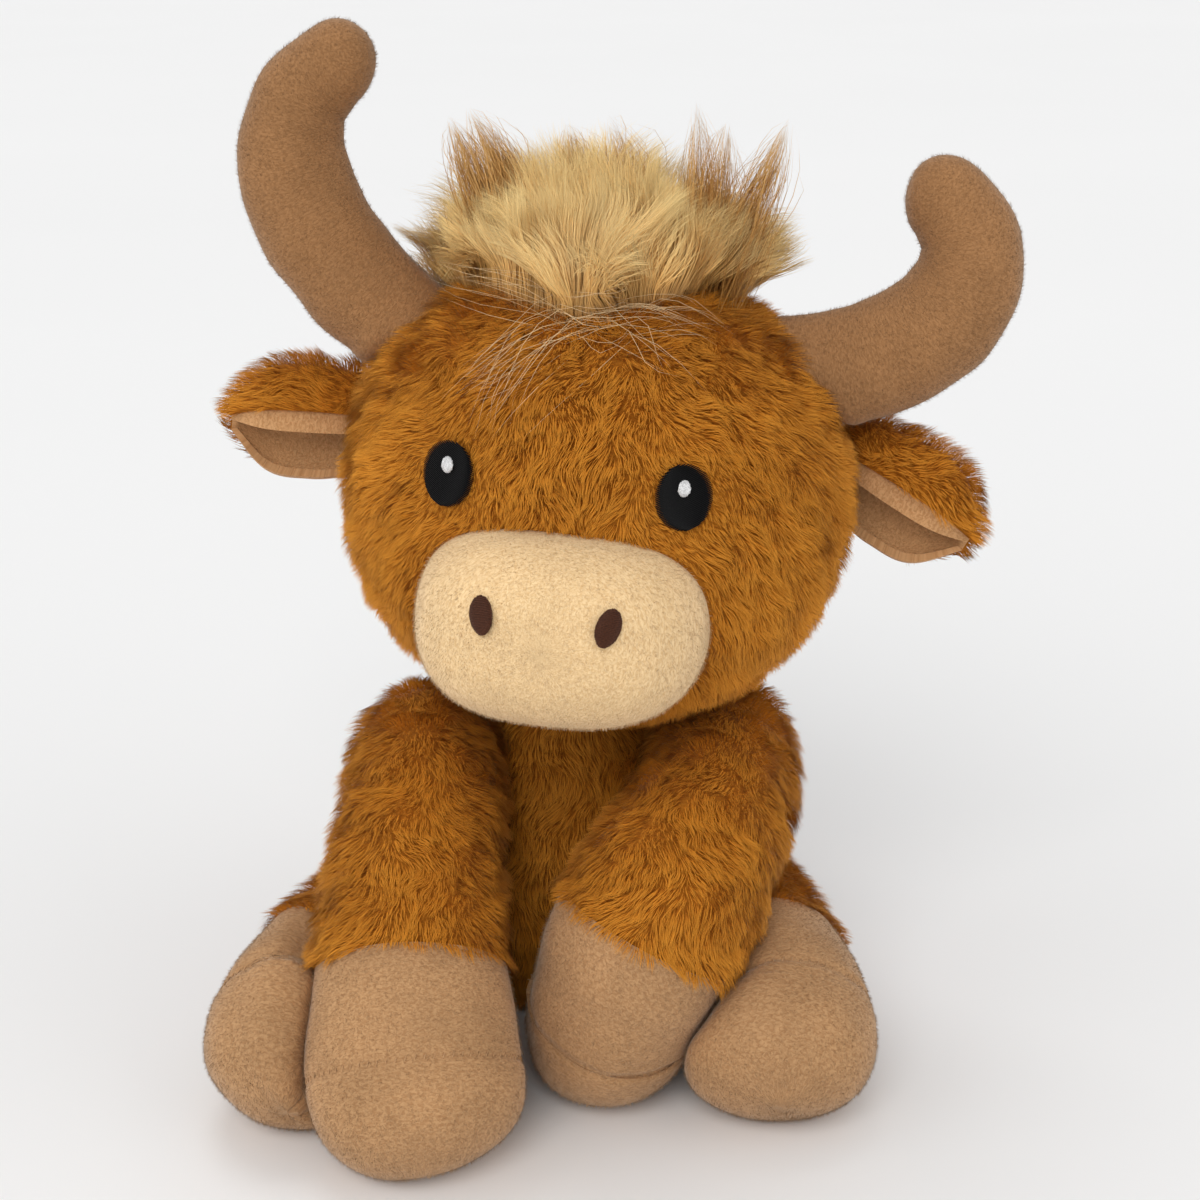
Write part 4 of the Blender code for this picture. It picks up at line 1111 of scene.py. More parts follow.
def tucked(net, seams, seed):
    """A limb's net drawn in at its seams, with small puckers that run out from them."""
    height = np.zeros(net.points.shape[:2])
    flat = net.points.reshape(-1, 3)
    pucker = wander(flat, PUCKER_SIZE, seed).reshape(height.shape)
    hollow = wander(flat, HOLLOW_SIZE, seed + 1).reshape(height.shape)
    height += hollow * HOLLOW_DEPTH
    for seam in seams:
        away = net.stations - seam
        height -= (TUCK_DEPTH * np.exp(-((away / TUCK_REACH) ** 2)))[:, None]
        height += pucker * (PUCKER_DEPTH * np.exp(-((away / PUCKER_REACH) ** 2)))[:, None]
    return net.lifted(height)


# %% Stitches across a seam
STITCH_PITCH = 0.0026
STITCH_REACH = 0.0009
STITCH_RADIUS = 0.00016
STITCH_SLANT = 0.4
STITCH_POINTS = 5
STITCH_CROWN_SHARE = 0.48
STITCH_END_SHARE = 0.25
THREAD_END_SHARE = 0.45
STEEPEST_THREAD = 0.9


def thread_mesh(name, runs, radius, material, sides=5):
    """Short lengths of thread, each a closed tube along its own points."""
    points, faces, uvs = [], [], []
    for run in runs:
        run = np.asarray(run)
        along = unit(np.gradient(run, axis=0))
        guide = -DOWN if abs(along[0, 2]) < STEEPEST_THREAD else SIDEWAYS
        across = unit(np.cross(along, guide))
        up = np.cross(across, along)
        first = len(points)
        count = len(run)
        for index in range(count):
            size = radius * (THREAD_END_SHARE if index in (0, count - 1) else 1.0)
            for side in range(sides):
                turn = 2 * math.pi * side / sides
                way = across[index] * math.cos(turn) + up[index] * math.sin(turn)
                points.append(run[index] + way * size)
        for index in range(count - 1):
            for side in range(sides):
                after = (side + 1) % sides
                low, high = first + index * sides, first + (index + 1) * sides
                faces.append((low + side, low + after, high + after, high + side))
                uvs += [(side * radius, index * radius)] * 4
        faces.append(tuple(first + side for side in reversed(range(sides))))
        faces.append(tuple(first + (count - 1) * sides + side for side in range(sides)))
        uvs += [(0, 0)] * (2 * sides)
    return new_mesh(name, np.array(points), faces, uvs, material)


def seam_stitches(name, net, seam, material, body, slot):
    """Small stitches that cross a seam all the way round a limb."""
    row = int(np.argmin(np.abs(net.stations - seam)))
    ring = net.points[row]
    around = np.linalg.norm(np.roll(ring, -1, 0) - ring, axis=1)
    count = int(around.sum() / STITCH_PITCH)
    places = np.interp(
        np.linspace(0, around.sum(), count, endpoint=False),
        np.concatenate([[0], np.cumsum(around)]),
        np.arange(len(ring) + 1),
    )
    runs = []
    steps = np.linspace(-1, 1, STITCH_POINTS)[:, None]
    crown = TUCK_DEPTH * (STITCH_CROWN_SHARE * (1 - steps**2) + STITCH_END_SHARE * np.abs(steps))
    for place in places:
        column = int(place) % len(ring)
        point = ring[column] + (ring[(column + 1) % len(ring)] - ring[column]) * (place - int(place))
        across = (net.along[row, column] + net.around[row, column] * STITCH_SLANT) * STITCH_REACH
        run = point + across * steps + net.normals[row, column] * (crown - STITCH_RADIUS / 2)
        if run[:, 2].min() > FLOOR_CLEARANCE + STITCH_RADIUS:
            runs.append(run)
    print(name, len(runs), "stitches")
    return dress(thread_mesh(name, runs, STITCH_RADIUS, material), body, slot)


TAN_THREAD = cloth_material("tan_thread", (0.42, 0.235, 0.11), (0.54, 0.32, 0.16), 0.05, 0.2, 0.8)

# %% Building the legs
NAP_LENGTH = 0.0011
NAP_WIDTH = 0.00016
RIB_PITCH = 0.0013
RIB_WAVE_SIZE = 0.01
NAP_TONE_SIZE = 0.012
NAP_DENSITY = 1.6e6
NAP_LENGTH_SHARES = (0.6, 1.3)
NAP_LEAN = 0.7
NAP_LAST_LEAN = 0.9
NAP_LEAN_STRAY = 0.2
NAP_COMB_STRAY = 0.35
NAP_TONE_WANDER = 0.18
NAP_HAIR_TONE = 0.08
RIB_TONE = 0.20


def nap(name, net, body, material, slot, rng, comb_of, roots=None, place_of=None):
    """The very short pile of velvet, one face above and one below to a hair, in slightly paler ribs."""
    roots = roots or scatter(net, NAP_DENSITY, rng)
    lengths = NAP_LENGTH * rng.uniform(*NAP_LENGTH_SHARES, len(roots.points))
    comb = comb_of(roots) + rng.normal(0, NAP_COMB_STRAY, roots.points.shape)
    lean = NAP_LEAN + rng.normal(0, NAP_LEAN_STRAY, len(lengths))
    paths = combed(roots, comb, lengths, lean, NAP_LAST_LEAN, steps=2)
    place = roots.stations if place_of is None else place_of(roots)
    tones = 0.5 + wander(roots.points, NAP_TONE_SIZE, 8) * NAP_TONE_WANDER
    tones += rng.normal(0, NAP_HAIR_TONE, len(lengths))
    wave = wander(roots.points, RIB_WAVE_SIZE, 9) * 2
    tones += RIB_TONE * np.sin(place * 2 * math.pi / RIB_PITCH + wave)
    widths = hair_widths(NAP_WIDTH, len(lengths), rng)
    return blades(
        name, paths, widths, roots.normals, tones, material, body, slot, cloth_share=NAP_SHADING_SHARE
    )


SLEEVE_DENSITY = 2.7e6
LEG_LEANS = (0.62, 1.18)
SIDE_DOWN_SHARE = 0.8
FRONT_DOWN_SHARE = 0.35
VELVET_FILL = 0.85


def along_limb(roots):
    """Pile brushed along a limb, towards its end."""
    return roots.along


def leg_comb(roots):
    """Pile brushed towards the hoof on the front of a leg, and straight down its sides."""
    beside = np.abs(roots.normals[:, :1]) * SIDE_DOWN_SHARE
    return roots.along * (1 - beside) + DOWN * (FRONT_DOWN_SHARE + beside)


for number, (leg, line) in enumerate(LEG_LINES.items()):
    rng = np.random.default_rng(20 + number)
    kind = "foreleg" if "foreleg" in leg else "hind_leg"
    hoof_length, cap_length = HOOF_LENGTHS[kind]
    length = line_length(line)
    hem, seam = length - hoof_length, length - cap_length
    widest = seam + CAP_STRAIGHT_SHARE * cap_length
    tree = tree_of(f"{leg}_stuffing")
    marks = stations_with_seams(widest, (hem, seam))
    net = limb_net(line, SIDEWAYS, tree, marks, widest, ROOT_RADIUS, LEG_COLUMNS)
    sleeve = net.part(-1, hem)
    skin = backing(f"{leg}_skin", sleeve, closed_last=False)
    dress(skin, leg, "golden_plush", f"{leg}_sleeve", fill=PLUSH_FILL)
    velvet = tucked(net.lifted(COVER_LIFT), (seam,), 30 + number)
    for word, first, last, closed in (("hoof_cuff", hem, seam, False), ("hoof_cap", seam, 1, True)):
        outer = velvet.part(first, last)
        under = net.lifted(UNDERSIDE_LIFT).part(first, last)
        piece = sheath(f"{leg}_{word}_velvet", outer, under, HOOF_VELVET, closed_last=closed)
        dress(piece, leg, "hoof_velvet", f"{leg}_{word}", fill=VELVET_FILL)
        nap(f"{leg}_{word}_nap", outer, leg, HOOF_NAP, "hoof_velvet", rng, along_limb)
    seam_stitches(f"{leg}_hoof_stitches", velvet, seam, TAN_THREAD, leg, "hoof_velvet")
    coat(f"{leg}_pile", sleeve.lifted(SKIN_LIFT), leg, SLEEVE_DENSITY, rng, leg_comb, leans=LEG_LEANS)
    print(leg, "is", round(length * 1000), "mm long")

# %% [markdown]
# ## Horns
#
# A horn is a bent velvet tube, stuffed hard, and sewn into the head. It is drawn over its stuffing as the
# legs are. The base runs on into the pile of the head.

# %% Horns
HORN_LINES = {
    "right_horn": (
        (-0.05398, 0.0018, 0.04026),
        (-0.10798, 0.0018, 0.07126),
        (-0.10898, 0.0018, 0.11426),
        (-0.07398, 0.0018, 0.12226),
    ),
    "left_horn": (
        (0.04983, 0.0018, 0.04026),
        (0.10383, 0.0018, 0.04326),
        (0.11883, 0.0018, 0.08826),
        (0.08183, 0.0018, 0.09826),
    ),
}
HORN_TIP_RADIUS = 0.0112
HORN_ROW_STEP = 0.0014
HORN_COLUMNS = 56
HORN_SMOOTHING = (2.0, 2.5)
HORN_FILL = 0.9
BACKWARDS = -FRONT @ HEAD_TURN.T

for number, (horn, line) in enumerate(HORN_LINES.items()):
    rng = np.random.default_rng(40 + number)
    line = from_head(line)
    length = line_length(line)
    round_end = length - HORN_TIP_RADIUS
    marks = np.arange(0, round_end, HORN_ROW_STEP)
    tree = tree_of(f"{horn}_stuffing")
    net = limb_net(line, BACKWARDS, tree, marks, round_end, 0, HORN_COLUMNS, HORN_SMOOTHING)
    velvet = tucked(net.lifted(COVER_LIFT), (), 50 + number)
    piece = sheath(f"{horn}_velvet", velvet, net.lifted(UNDERSIDE_LIFT), HORN_VELVET, closed_last=True)
    dress(piece, "head", "tan_velvet", f"{horn}_cover", fill=HORN_FILL)
    nap(f"{horn}_nap", velvet, "head", TAN_NAP, "tan_velvet", rng, along_limb)

# %% [markdown]
# ## Muzzle
#
# The muzzle is one oval of cream velvet, drawn together along its edge and stuffed, so it is nearly flat in
# the middle and turns over quickly into its seam.

# %% Muzzle
MUZZLE_ROWS = 48
MUZZLE_COLUMNS = 112
MUZZLE_EDGE_LEAN = math.radians(105)
MUZZLE_LAST_LEAN = math.radians(1.5)
MUZZLE_RADIUS = 0.04
MUZZLE_FORWARD = 0.004
MUZZLE_SMOOTHING = (1.4, 2.0)
MUZZLE_FILL = 0.8

lean = np.linspace(MUZZLE_EDGE_LEAN, MUZZLE_LAST_LEAN, MUZZLE_ROWS)
turns = np.linspace(0, 2 * math.pi, MUZZLE_COLUMNS, endpoint=False)
directions = np.stack(
    [
        np.sin(lean)[:, None] * np.cos(turns),
        np.broadcast_to(-np.cos(lean)[:, None], (MUZZLE_ROWS, MUZZLE_COLUMNS)),
        np.sin(lean)[:, None] * np.sin(turns),
    ],
    -1,
)
directions = directions @ HEAD_TURN.T
origins = np.broadcast_to(from_head(MUZZLE_MIDDLE + FRONT * MUZZLE_FORWARD), directions.shape)
reach = blurred(reach_of(muzzle_tree, origins, directions), *MUZZLE_SMOOTHING)
muzzle_net = Net(origins + directions * reach[..., None], (MUZZLE_EDGE_LEAN - lean) * MUZZLE_RADIUS)
if muzzle_net.normals[-3, 0] @ (HEAD_TURN @ FRONT) < 0:
    muzzle_net.normals = -muzzle_net.normals
velvet = muzzle_net.lifted(COVER_LIFT)
piece = sheath("muzzle_velvet", velvet, muzzle_net.lifted(UNDERSIDE_LIFT), MUZZLE_VELVET, closed_last=True)
dress(piece, "head", "cream_velvet", "muzzle_cover", fill=MUZZLE_FILL)
rng = np.random.default_rng(60)


def height_on_face(roots):
    """How high each root lies in the head's own frame, for ribs that run level."""
    return to_head(roots.points)[:, 2]


nap("muzzle_nap", velvet, "head", CREAM_NAP, "cream_velvet", rng, hanging, place_of=height_on_face)

# %% [markdown]
# ## Eyes and nostrils
#
# Both are satin stitch: threads laid side by side across an oval, each sunk into the cloth at both ends.
# Every thread is its own small tube, so the ridges catch the light at any angle.

# %% Satin stitch
SATIN_RADIUS = 0.00026
SATIN_TRIES = 161
SATIN_POINTS = 9
SATIN_CROWN = 0.0005
SATIN_DIP = 0.0005
DOME_SHARE = 0.62
DOME_RAYS = 7
HEAD_REACH = 0.12
THREAD_SIDES = 6
FEWEST_PLACES = 3


def dome_over(tree, middle, half_sizes):
    """How far forward a small piece lies at flat places in the head's frame, as one smooth dome."""
    places, depths = [], []
    for x in np.linspace(-DOME_SHARE, DOME_SHARE, DOME_RAYS):
        for z in np.linspace(-DOME_SHARE, DOME_SHARE, DOME_RAYS):
            point = (middle[0] + x * half_sizes[0], -HEAD_REACH, middle[2] + z * half_sizes[1])
            hit = tree.ray_cast(Vector(from_head(point)), Vector(HEAD_TURN @ -FRONT))[0]
            if hit is not None:
                places.append((x, z))
                depths.append(to_head(np.array(hit))[1])
    x, z = np.array(places).T
    shapes = np.stack([np.ones(len(x)), x, z, x * x, z * z, x * z], -1)
    terms = np.linalg.lstsq(shapes, np.array(depths), rcond=None)[0]

    def depth(flat):
        u, w = flat[0] / half_sizes[0], flat[1] / half_sizes[1]
        return float(np.dot(terms, (1, u, w, u * u, w * w, u * w)))

    return depth


def satin(name, piece, pitch, lean, material, slot, lift, half_sizes, middle, tilt=0.0):
    """Threads side by side over an oval of the face, from edge to edge."""
    depth = dome_over(tree_of(piece), middle, half_sizes)
    half_width, half_height = half_sizes
    across = np.array([math.cos(lean), math.sin(lean)])
    up = np.array([-math.sin(lean), math.cos(lean)])
    turn = np.array([[math.cos(tilt), math.sin(tilt)], [-math.sin(tilt), math.cos(tilt)]])
    runs = []
    reach_up = half_height + half_width
    for level in np.arange(-reach_up, reach_up, pitch):
        inside = []
        for place in np.linspace(-reach_up, reach_up, SATIN_TRIES):
            flat = turn @ (across * place + up * level)
            if (flat[0] / half_width) ** 2 + (flat[1] / half_height) ** 2 <= 1:
                inside.append(place)
        if len(inside) < FEWEST_PLACES:
            continue
        run = []
        for share in np.linspace(-1, 1, SATIN_POINTS):
            place = (inside[0] + inside[-1]) / 2 + (inside[-1] - inside[0]) / 2 * share
            flat = across * place + up * level
            height = lift + SATIN_CROWN * (1 - share**2) - SATIN_DIP * share**6
            point = np.array([middle[0] + flat[0], depth(flat) - height, middle[2] + flat[1]])
            run.append(from_head(point))
        runs.append(run)
    print(name, len(runs), "threads")
    return dress(thread_mesh(name, runs, SATIN_RADIUS, material, THREAD_SIDES), "head", slot)


DARK_FIBRE_SHARE = 0.6
FIBRE_HEIGHT = 0.0001


def thread_material(name, colour, roughness, sheen):
    """Shiny embroidery thread, a little uneven along its length."""
    made, shader, tree = principled(name, roughness)
    space = node(tree, "ShaderNodeTexCoord")
    fibre = node(tree, "ShaderNodeTexNoise", Vector=space.outputs["Object"], Scale=2600.0, Detail=2.0)
    dark = tuple(value * DARK_FIBRE_SHARE for value in colour)
    fibre_colour = colours(tree, fibre.outputs["Fac"], (0.35, dark), (0.65, colour))
    tree.links.new(fibre_colour, shader.inputs["Base Color"])
    raised = node(tree, "ShaderNodeBump", Strength=0.5, Distance=FIBRE_HEIGHT, Height=fibre.outputs["Fac"])
    tree.links.new(raised.outputs["Normal"], shader.inputs["Normal"])
    shader.inputs["Sheen Weight"].default_value = sheen
    shader.inputs["Specular IOR Level"].default_value = 0.12
    return made


BLACK_THREAD = thread_material("black_thread", (0.0022, 0.0022, 0.0026), 0.42, 0.0)
WHITE_THREAD = thread_material("white_thread", (0.85, 0.85, 0.85), 0.5, 0.1)
BROWN_THREAD = thread_material("brown_thread", (0.085, 0.028, 0.013), 0.55, 0.05)

# %% Eyes
EYE_PITCH = 0.00047
EYE_LEAN = 0.5
EYE_LIFT = 0.0002
EYE_SHIFT = -0.0030
EYE_APART = 0.0325
EYE_HEIGHT = 0.0120
EYE_HALF_SIZES = (0.0077, 0.0091)
FINE_PITCH = 0.0004
GLINT_LEAN = 1.45
GLINT_LIFT = 0.0005
GLINT_RAISED = np.array([0.0, 0.0, 0.0026])
GLINT_HALF_SIZES = (0.0016, 0.0023)


def recoloured(name, material):
    """A node of the solid model keeps its shape and takes a new material."""
    nodes[name].data.materials.clear()
    nodes[name].data.materials.append(material)


for side, word in ((-1, "right"), (1, "left")):
    middle = np.array([EYE_SHIFT + side * EYE_APART, 0.0, EYE_HEIGHT])
    eye = satin(
        f"{word}_eye_threads", f"{word}_eye", EYE_PITCH, EYE_LEAN * side, BLACK_THREAD, "black_thread",
        EYE_LIFT, EYE_HALF_SIZES, middle,
    )
    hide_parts(f"{word}_eye")
    satin(
        f"{word}_glint_threads", f"{word}_eye_glint", FINE_PITCH, GLINT_LEAN, WHITE_THREAD, "white_thread",
        GLINT_LIFT, GLINT_HALF_SIZES, middle + GLINT_RAISED,
    )
    recoloured(f"{word}_eye_glint", WHITE_THREAD)

# %% Nostrils
NOSTRIL_APART = 0.01675
NOSTRIL_HEIGHT = 0.009
NOSTRIL_LEAN = -0.25
NOSTRIL_LIFT = 0.0002
NOSTRIL_HALF_SIZES = (0.0033, 0.0048)
NOSTRIL_TILT = math.radians(-12)

for side, word in ((-1, "right"), (1, "left")):
    middle = MUZZLE_MIDDLE + np.array([side * NOSTRIL_APART, 0.0, NOSTRIL_HEIGHT])
    satin(
        f"{word}_nostril_threads", f"{word}_nostril", FINE_PITCH, side * NOSTRIL_LEAN, BROWN_THREAD,
        "brown_thread", NOSTRIL_LIFT, NOSTRIL_HALF_SIZES, middle, tilt=side * NOSTRIL_TILT,
    )
    recoloured(f"{word}_nostril", BROWN_THREAD)

# %% [markdown]
# ## The blond forelock
#
# The patch on the crown has hair more than five times as long as the plush. It stands up from the front
# edge, bends back over the crown and falls away at the sides, and its locks part at the top. Each lock
# follows its own bend, and each hair in it strays a little.

# %% Forelock
FORELOCK_MIDDLE = np.array([-0.006, 0.00302])
FORELOCK_HALF = np.array([0.042, 0.038])
FORELOCK_HAIRS = 14500
FORELOCK_STEPS = 7
FORELOCK_LENGTH = 0.0445
FORELOCK_WIDTH = 0.000205
FORELOCK_POINT = 0.55
POINT_ROUNDING = 0.0001
FORELOCK_LOCKS = 90
FORELOCK_SUNK = 0.0005
FORELOCK_START_STRAY = 0.20
FORELOCK_END_STRAY = 0.80
FORELOCK_WAVE = 0.30
FORELOCK_WAVE_SIZE = 0.011
FORELOCK_BEND = 1.6
FORELOCK_CENTRE = from_head((-0.004, 0.010, 0.045))
FORELOCK_FACING_POINT = 3
FORELOCK_STRAY = 0.22
LOCK_STRAY = 0.30
EDGE_SHORTENING = 0.30
RAGGEDNESS = 0.12
FORELOCK_LOCK_TONE = 0.10
FORELOCK_HAIR_TONE = 0.12
START_SPREAD = 0.75
START_SLOPE = 0.55
START_FORWARD = 0.05
START_RISE = 1.10
END_SPREAD = 0.85
END_BACK = 0.40
END_SLOPE = 0.65
END_RISE = 0.80
SIDE_DROP = 0.35
BACK_DROP = 0.5
TWIST_SIZE = 0.006
RAGGED_SIZE = 0.009
FORELOCK_LENGTH_SHARES = (0.70, 1.08)
WIDE_LOCK = (0.008, 0.50)
NARROW_LOCK = (0.0035, 0.40)


def crown_point(flat):
    """Places on the head's cloth straight under flat places on the crown."""
    found, normals = [], []
    down = Vector(HEAD_TURN @ DOWN)
    for x, y in flat:
        hit = head_tree.ray_cast(Vector(from_head((x, y, HEAD_REACH))), down)
        found.append(np.array(hit[0]))
        normals.append(np.array(hit[1]))
    return np.array(found), np.array(normals)


def forelock_paths(flat, lengths, stray):
    """Long hairs from flat places on the crown: up from the front edge, and out and back as they rise."""
    roots, normals = crown_point(flat)
    place = (flat - FORELOCK_MIDDLE) / FORELOCK_HALF
    count = len(flat)
    lean = np.zeros((count, 3))
    lean[:, 0] = place[:, 0] * START_SPREAD
    lean[:, 1] = place[:, 1] * START_SLOPE - START_FORWARD
    lean[:, 2] = START_RISE
    fall = np.zeros((count, 3))
    fall[:, 0] = place[:, 0] * END_SPREAD
    fall[:, 1] = END_BACK + place[:, 1] * END_SLOPE
    fall[:, 2] = END_RISE - SIDE_DROP * np.abs(place[:, 0]) ** 2 - BACK_DROP * np.maximum(place[:, 1], 0)
    start = unit(lean @ HEAD_TURN.T + stray * FORELOCK_START_STRAY)
    end = unit(fall @ HEAD_TURN.T + stray * FORELOCK_END_STRAY)
    path = [roots + normals * FORELOCK_SUNK]
    for step in range(FORELOCK_STEPS - 1):
        share = (step / (FORELOCK_STEPS - 2)) ** FORELOCK_BEND
        wave = np.stack([wander(path[-1], FORELOCK_WAVE_SIZE, 86 + axis) for axis in range(3)], -1)
        direction = unit(start * (1 - share) + end * share + wave * FORELOCK_WAVE)
        path.append(path[-1] + direction * (lengths / (FORELOCK_STEPS - 1))[:, None])
    return np.stack(path, 1), normals


for number, (part, side) in enumerate((("front", -1), ("back", 1))):
    rng = np.random.default_rng(70 + number)
    count = int(FORELOCK_HAIRS * HAIR_SHARE)
    radius = np.sqrt(rng.random(count))
    turn = rng.random(count) * math.pi * side
    place = np.stack([np.cos(turn), np.sin(turn)], -1) * radius[:, None]
    ahead = np.maximum(-place[:, 1], 0)
    place[:, 0] *= (1 - ahead) ** FORELOCK_POINT / np.sqrt(1 - ahead**2 + POINT_ROUNDING)
    flat = FORELOCK_MIDDLE + FORELOCK_HALF * place
    centres = flat[rng.choice(count, FORELOCK_LOCKS, replace=False)]
    nearest = ((flat[:, None] - centres[None]) ** 2).sum(-1).argmin(1)
    own_way = rng.normal(0, LOCK_STRAY, (FORELOCK_LOCKS, 3))[nearest]
    level = np.c_[flat, np.zeros(count)]
    lock_stray = np.stack([wander(level, TWIST_SIZE, 80 + axis) for axis in range(3)], -1)
    lengths = FORELOCK_LENGTH * rng.uniform(*FORELOCK_LENGTH_SHARES, count)
    lengths *= 1 - EDGE_SHORTENING * radius**2
    lengths *= 1 + RAGGEDNESS * wander(level, RAGGED_SIZE, 84)
    stray = lock_stray + own_way + rng.normal(0, FORELOCK_STRAY, lock_stray.shape)
    paths, normals = forelock_paths(flat, lengths, stray)
    paths, locks = gathered(paths, *WIDE_LOCK, rng)
    paths, small = gathered(paths, *NARROW_LOCK, rng)
    tones = 0.5 + rng.normal(0, FORELOCK_LOCK_TONE, locks.max() + 1)[locks]
    tones += rng.normal(0, FORELOCK_LOCK_TONE, small.max() + 1)[small]
    tones += rng.normal(0, FORELOCK_HAIR_TONE, count)
    blades(
        f"forelock_{part}",
        paths,
        hair_widths(FORELOCK_WIDTH, count, rng),
        unit(paths[:, FORELOCK_FACING_POINT] - FORELOCK_CENTRE),
        tones,
        HAIR_PILE,
        "head",
        "blond_hair",
        ("forelock",) if part == "front" else (),
    )

# %% Wisps over the forehead and brown tufts at the sides of the forelock
WISPS = (
    ((-0.002, -0.036), ((-0.010, -0.030, 0.056), (-0.024, -0.048, 0.046), (-0.036, -0.058, 0.034)), 22),
    ((0.004, -0.036), ((-0.006, -0.044, 0.058), (-0.018, -0.056, 0.044), (-0.026, -0.064, 0.024)), 14),
    ((0.002, -0.034), ((0.010, -0.042, 0.060), (0.020, -0.048, 0.062), (0.036, -0.044, 0.056)), 20),
    ((-0.004, -0.036), ((-0.012, -0.044, 0.060), (-0.028, -0.040, 0.064), (-0.046, -0.030, 0.062)), 14),
    ((0.000, -0.035), ((0.006, -0.043, 0.060), (0.016, -0.054, 0.052), (0.030, -0.056, 0.042)), 6),
    ((-0.010, -0.034), ((-0.008, -0.044, 0.058), (0.002, -0.052, 0.054), (0.012, -0.050, 0.060)), 18),
)
SPIKES = (
    ((-0.030, -0.010), ((-0.034, -0.012, 0.085), (-0.042, -0.016, 0.098), (-0.047, -0.018, 0.106)), 260),
    ((-0.022, -0.014), ((-0.026, -0.016, 0.088), (-0.032, -0.018, 0.100), (-0.041, -0.020, 0.109)), 260),
    ((0.024, -0.012), ((0.026, -0.014, 0.085), (0.025, -0.014, 0.100), (0.021, -0.016, 0.115)), 150),
    ((0.028, -0.010), ((0.031, -0.012, 0.085), (0.031, -0.014, 0.098), (0.030, -0.016, 0.110)), 160),
    ((0.032, -0.010), ((0.037, -0.012, 0.084), (0.042, -0.014, 0.098), (0.047, -0.016, 0.112)), 220),
    ((-0.004, -0.004), ((-0.006, -0.006, 0.090), (-0.010, -0.006, 0.100), (-0.016, -0.006, 0.106)), 200),
    ((0.006, -0.004), ((0.006, -0.006, 0.090), (0.004, -0.006, 0.100), (-0.004, -0.006, 0.109)), 160),
)


WISP_SIZES = (0.0028, 0.0030, 0.00013)
SPIKE_SIZES = (0.0034, 0.0007, 0.00020)
FEWEST_HAIRS = 3
STRAY_SHARE = 0.9
TWIST_SHARE = 0.35
SHORTER_SHARE = 0.25
LOCK_WIDTH_SHARES = (0.7, 1.2)
DRAWN_TONE = 0.14


def drawn_locks(name, locks, spread, tip_spread, width, material, rng):
    """Locks of hair along chosen curves in the head's frame, each from a flat place on the crown."""
    paths = []
    for flat, bends, hairs in locks:
        root, _ = crown_point([flat])
        line = np.concatenate([root, from_head(bends)])
        middle = bezier(line, np.linspace(0, 1, FORELOCK_STEPS))
        count = max(FEWEST_HAIRS, int(hairs * HAIR_SHARE))
        offsets = rng.normal(0, 1, (count, 1, 3))
        stray = rng.normal(0, 1, (count, 1, 3))
        twist = rng.normal(0, 1, (count, 1, 3))
        shares = np.linspace(0, 1, FORELOCK_STEPS)[None, :, None]
        sizes = spread * (1 - shares) + tip_spread * shares
        ends = 1 - rng.random((count, 1, 1)) * SHORTER_SHARE * shares
        path = middle[None, :1] + (middle[None] - middle[None, :1]) * ends + offsets * sizes
        path = path + stray * spread * STRAY_SHARE * np.sin(shares * math.pi)
        paths.append(path + twist * spread * TWIST_SHARE * np.sin(shares * 2 * math.pi))
    paths = np.concatenate(paths)
    tones = 0.5 + rng.normal(0, DRAWN_TONE, len(paths))
    facing = unit(paths[:, FORELOCK_FACING_POINT] - HEAD_MIDDLE)
    widths = hair_widths(width, len(paths), rng, LOCK_WIDTH_SHARES)
    return blades(name, paths, widths, facing, tones, material, "head", "blond_hair")


rng = np.random.default_rng(75)
drawn_locks("forehead_wisps", WISPS, *WISP_SIZES, PALE_HAIR_PILE, rng)
drawn_locks("forelock_spikes", SPIKES, *SPIKE_SIZES, BROWN_HAIR_PILE, rng)

# %% [markdown]
# ## Ears
#
# An ear is a leaf of plush lined with velvet and folded along its length, so that it cups forward and down.
# The fold is drawn as a series of open ovals that shrink towards the tip: plush outside, velvet inside, and
# a rounded rim where the two are sewn.

# %% The fold of an ear
EAR_LENGTH = 0.039
EAR_HALF_HEIGHT = 0.0195
EAR_CUP_DEPTH = 0.012
EAR_ROOT_SHARE = 0.86
EAR_STATION_SHARES = (0, 0.35, 0.78, 1)
EAR_OUTLINE_SHARES = (EAR_ROOT_SHARE, 0.95, 0.74, 0.20)
EAR_SUNK = 0.012
EAR_FIRST_TURN = math.radians(-74)
EAR_LINING_FIRST_TURN = math.radians(-96)
EAR_PLUSH_LAST_TURN = math.radians(172)
EAR_LAST_TURN = math.radians(203)
EAR_BARE_TURN = math.radians(150)
EAR_AIMS = {"right_ear": (-1.0, -0.20, 0.0), "left_ear": (0.86, -0.20, -0.42)}
EAR_ROWS = 44
EAR_COLUMNS = 56
EAR_GIRTH = 0.075
EAR_RIM_WIDTH = 0.1
EAR_RIM_TURN = EAR_PLUSH_LAST_TURN + EAR_RIM_WIDTH


def smooth_between(place, stations, sizes):
    """Sizes at places between stations, on a smooth curve."""
    slopes = np.gradient(np.array(sizes, float), np.array(stations, float))
    after = np.clip(np.searchsorted(stations, place), 1, len(stations) - 1)
    low, high = np.array(stations)[after - 1], np.array(stations)[after]
    span = high - low
    share = np.clip((place - low) / span, 0, 1)
    rest = 1 - share
    size = np.array(sizes)
    straight = size[after - 1] * (1 + 2 * share) * rest**2 + size[after] * (1 + 2 * rest) * share**2
    bent = slopes[after - 1] * share * rest**2 - slopes[after] * rest * share**2
    return straight + span * bent


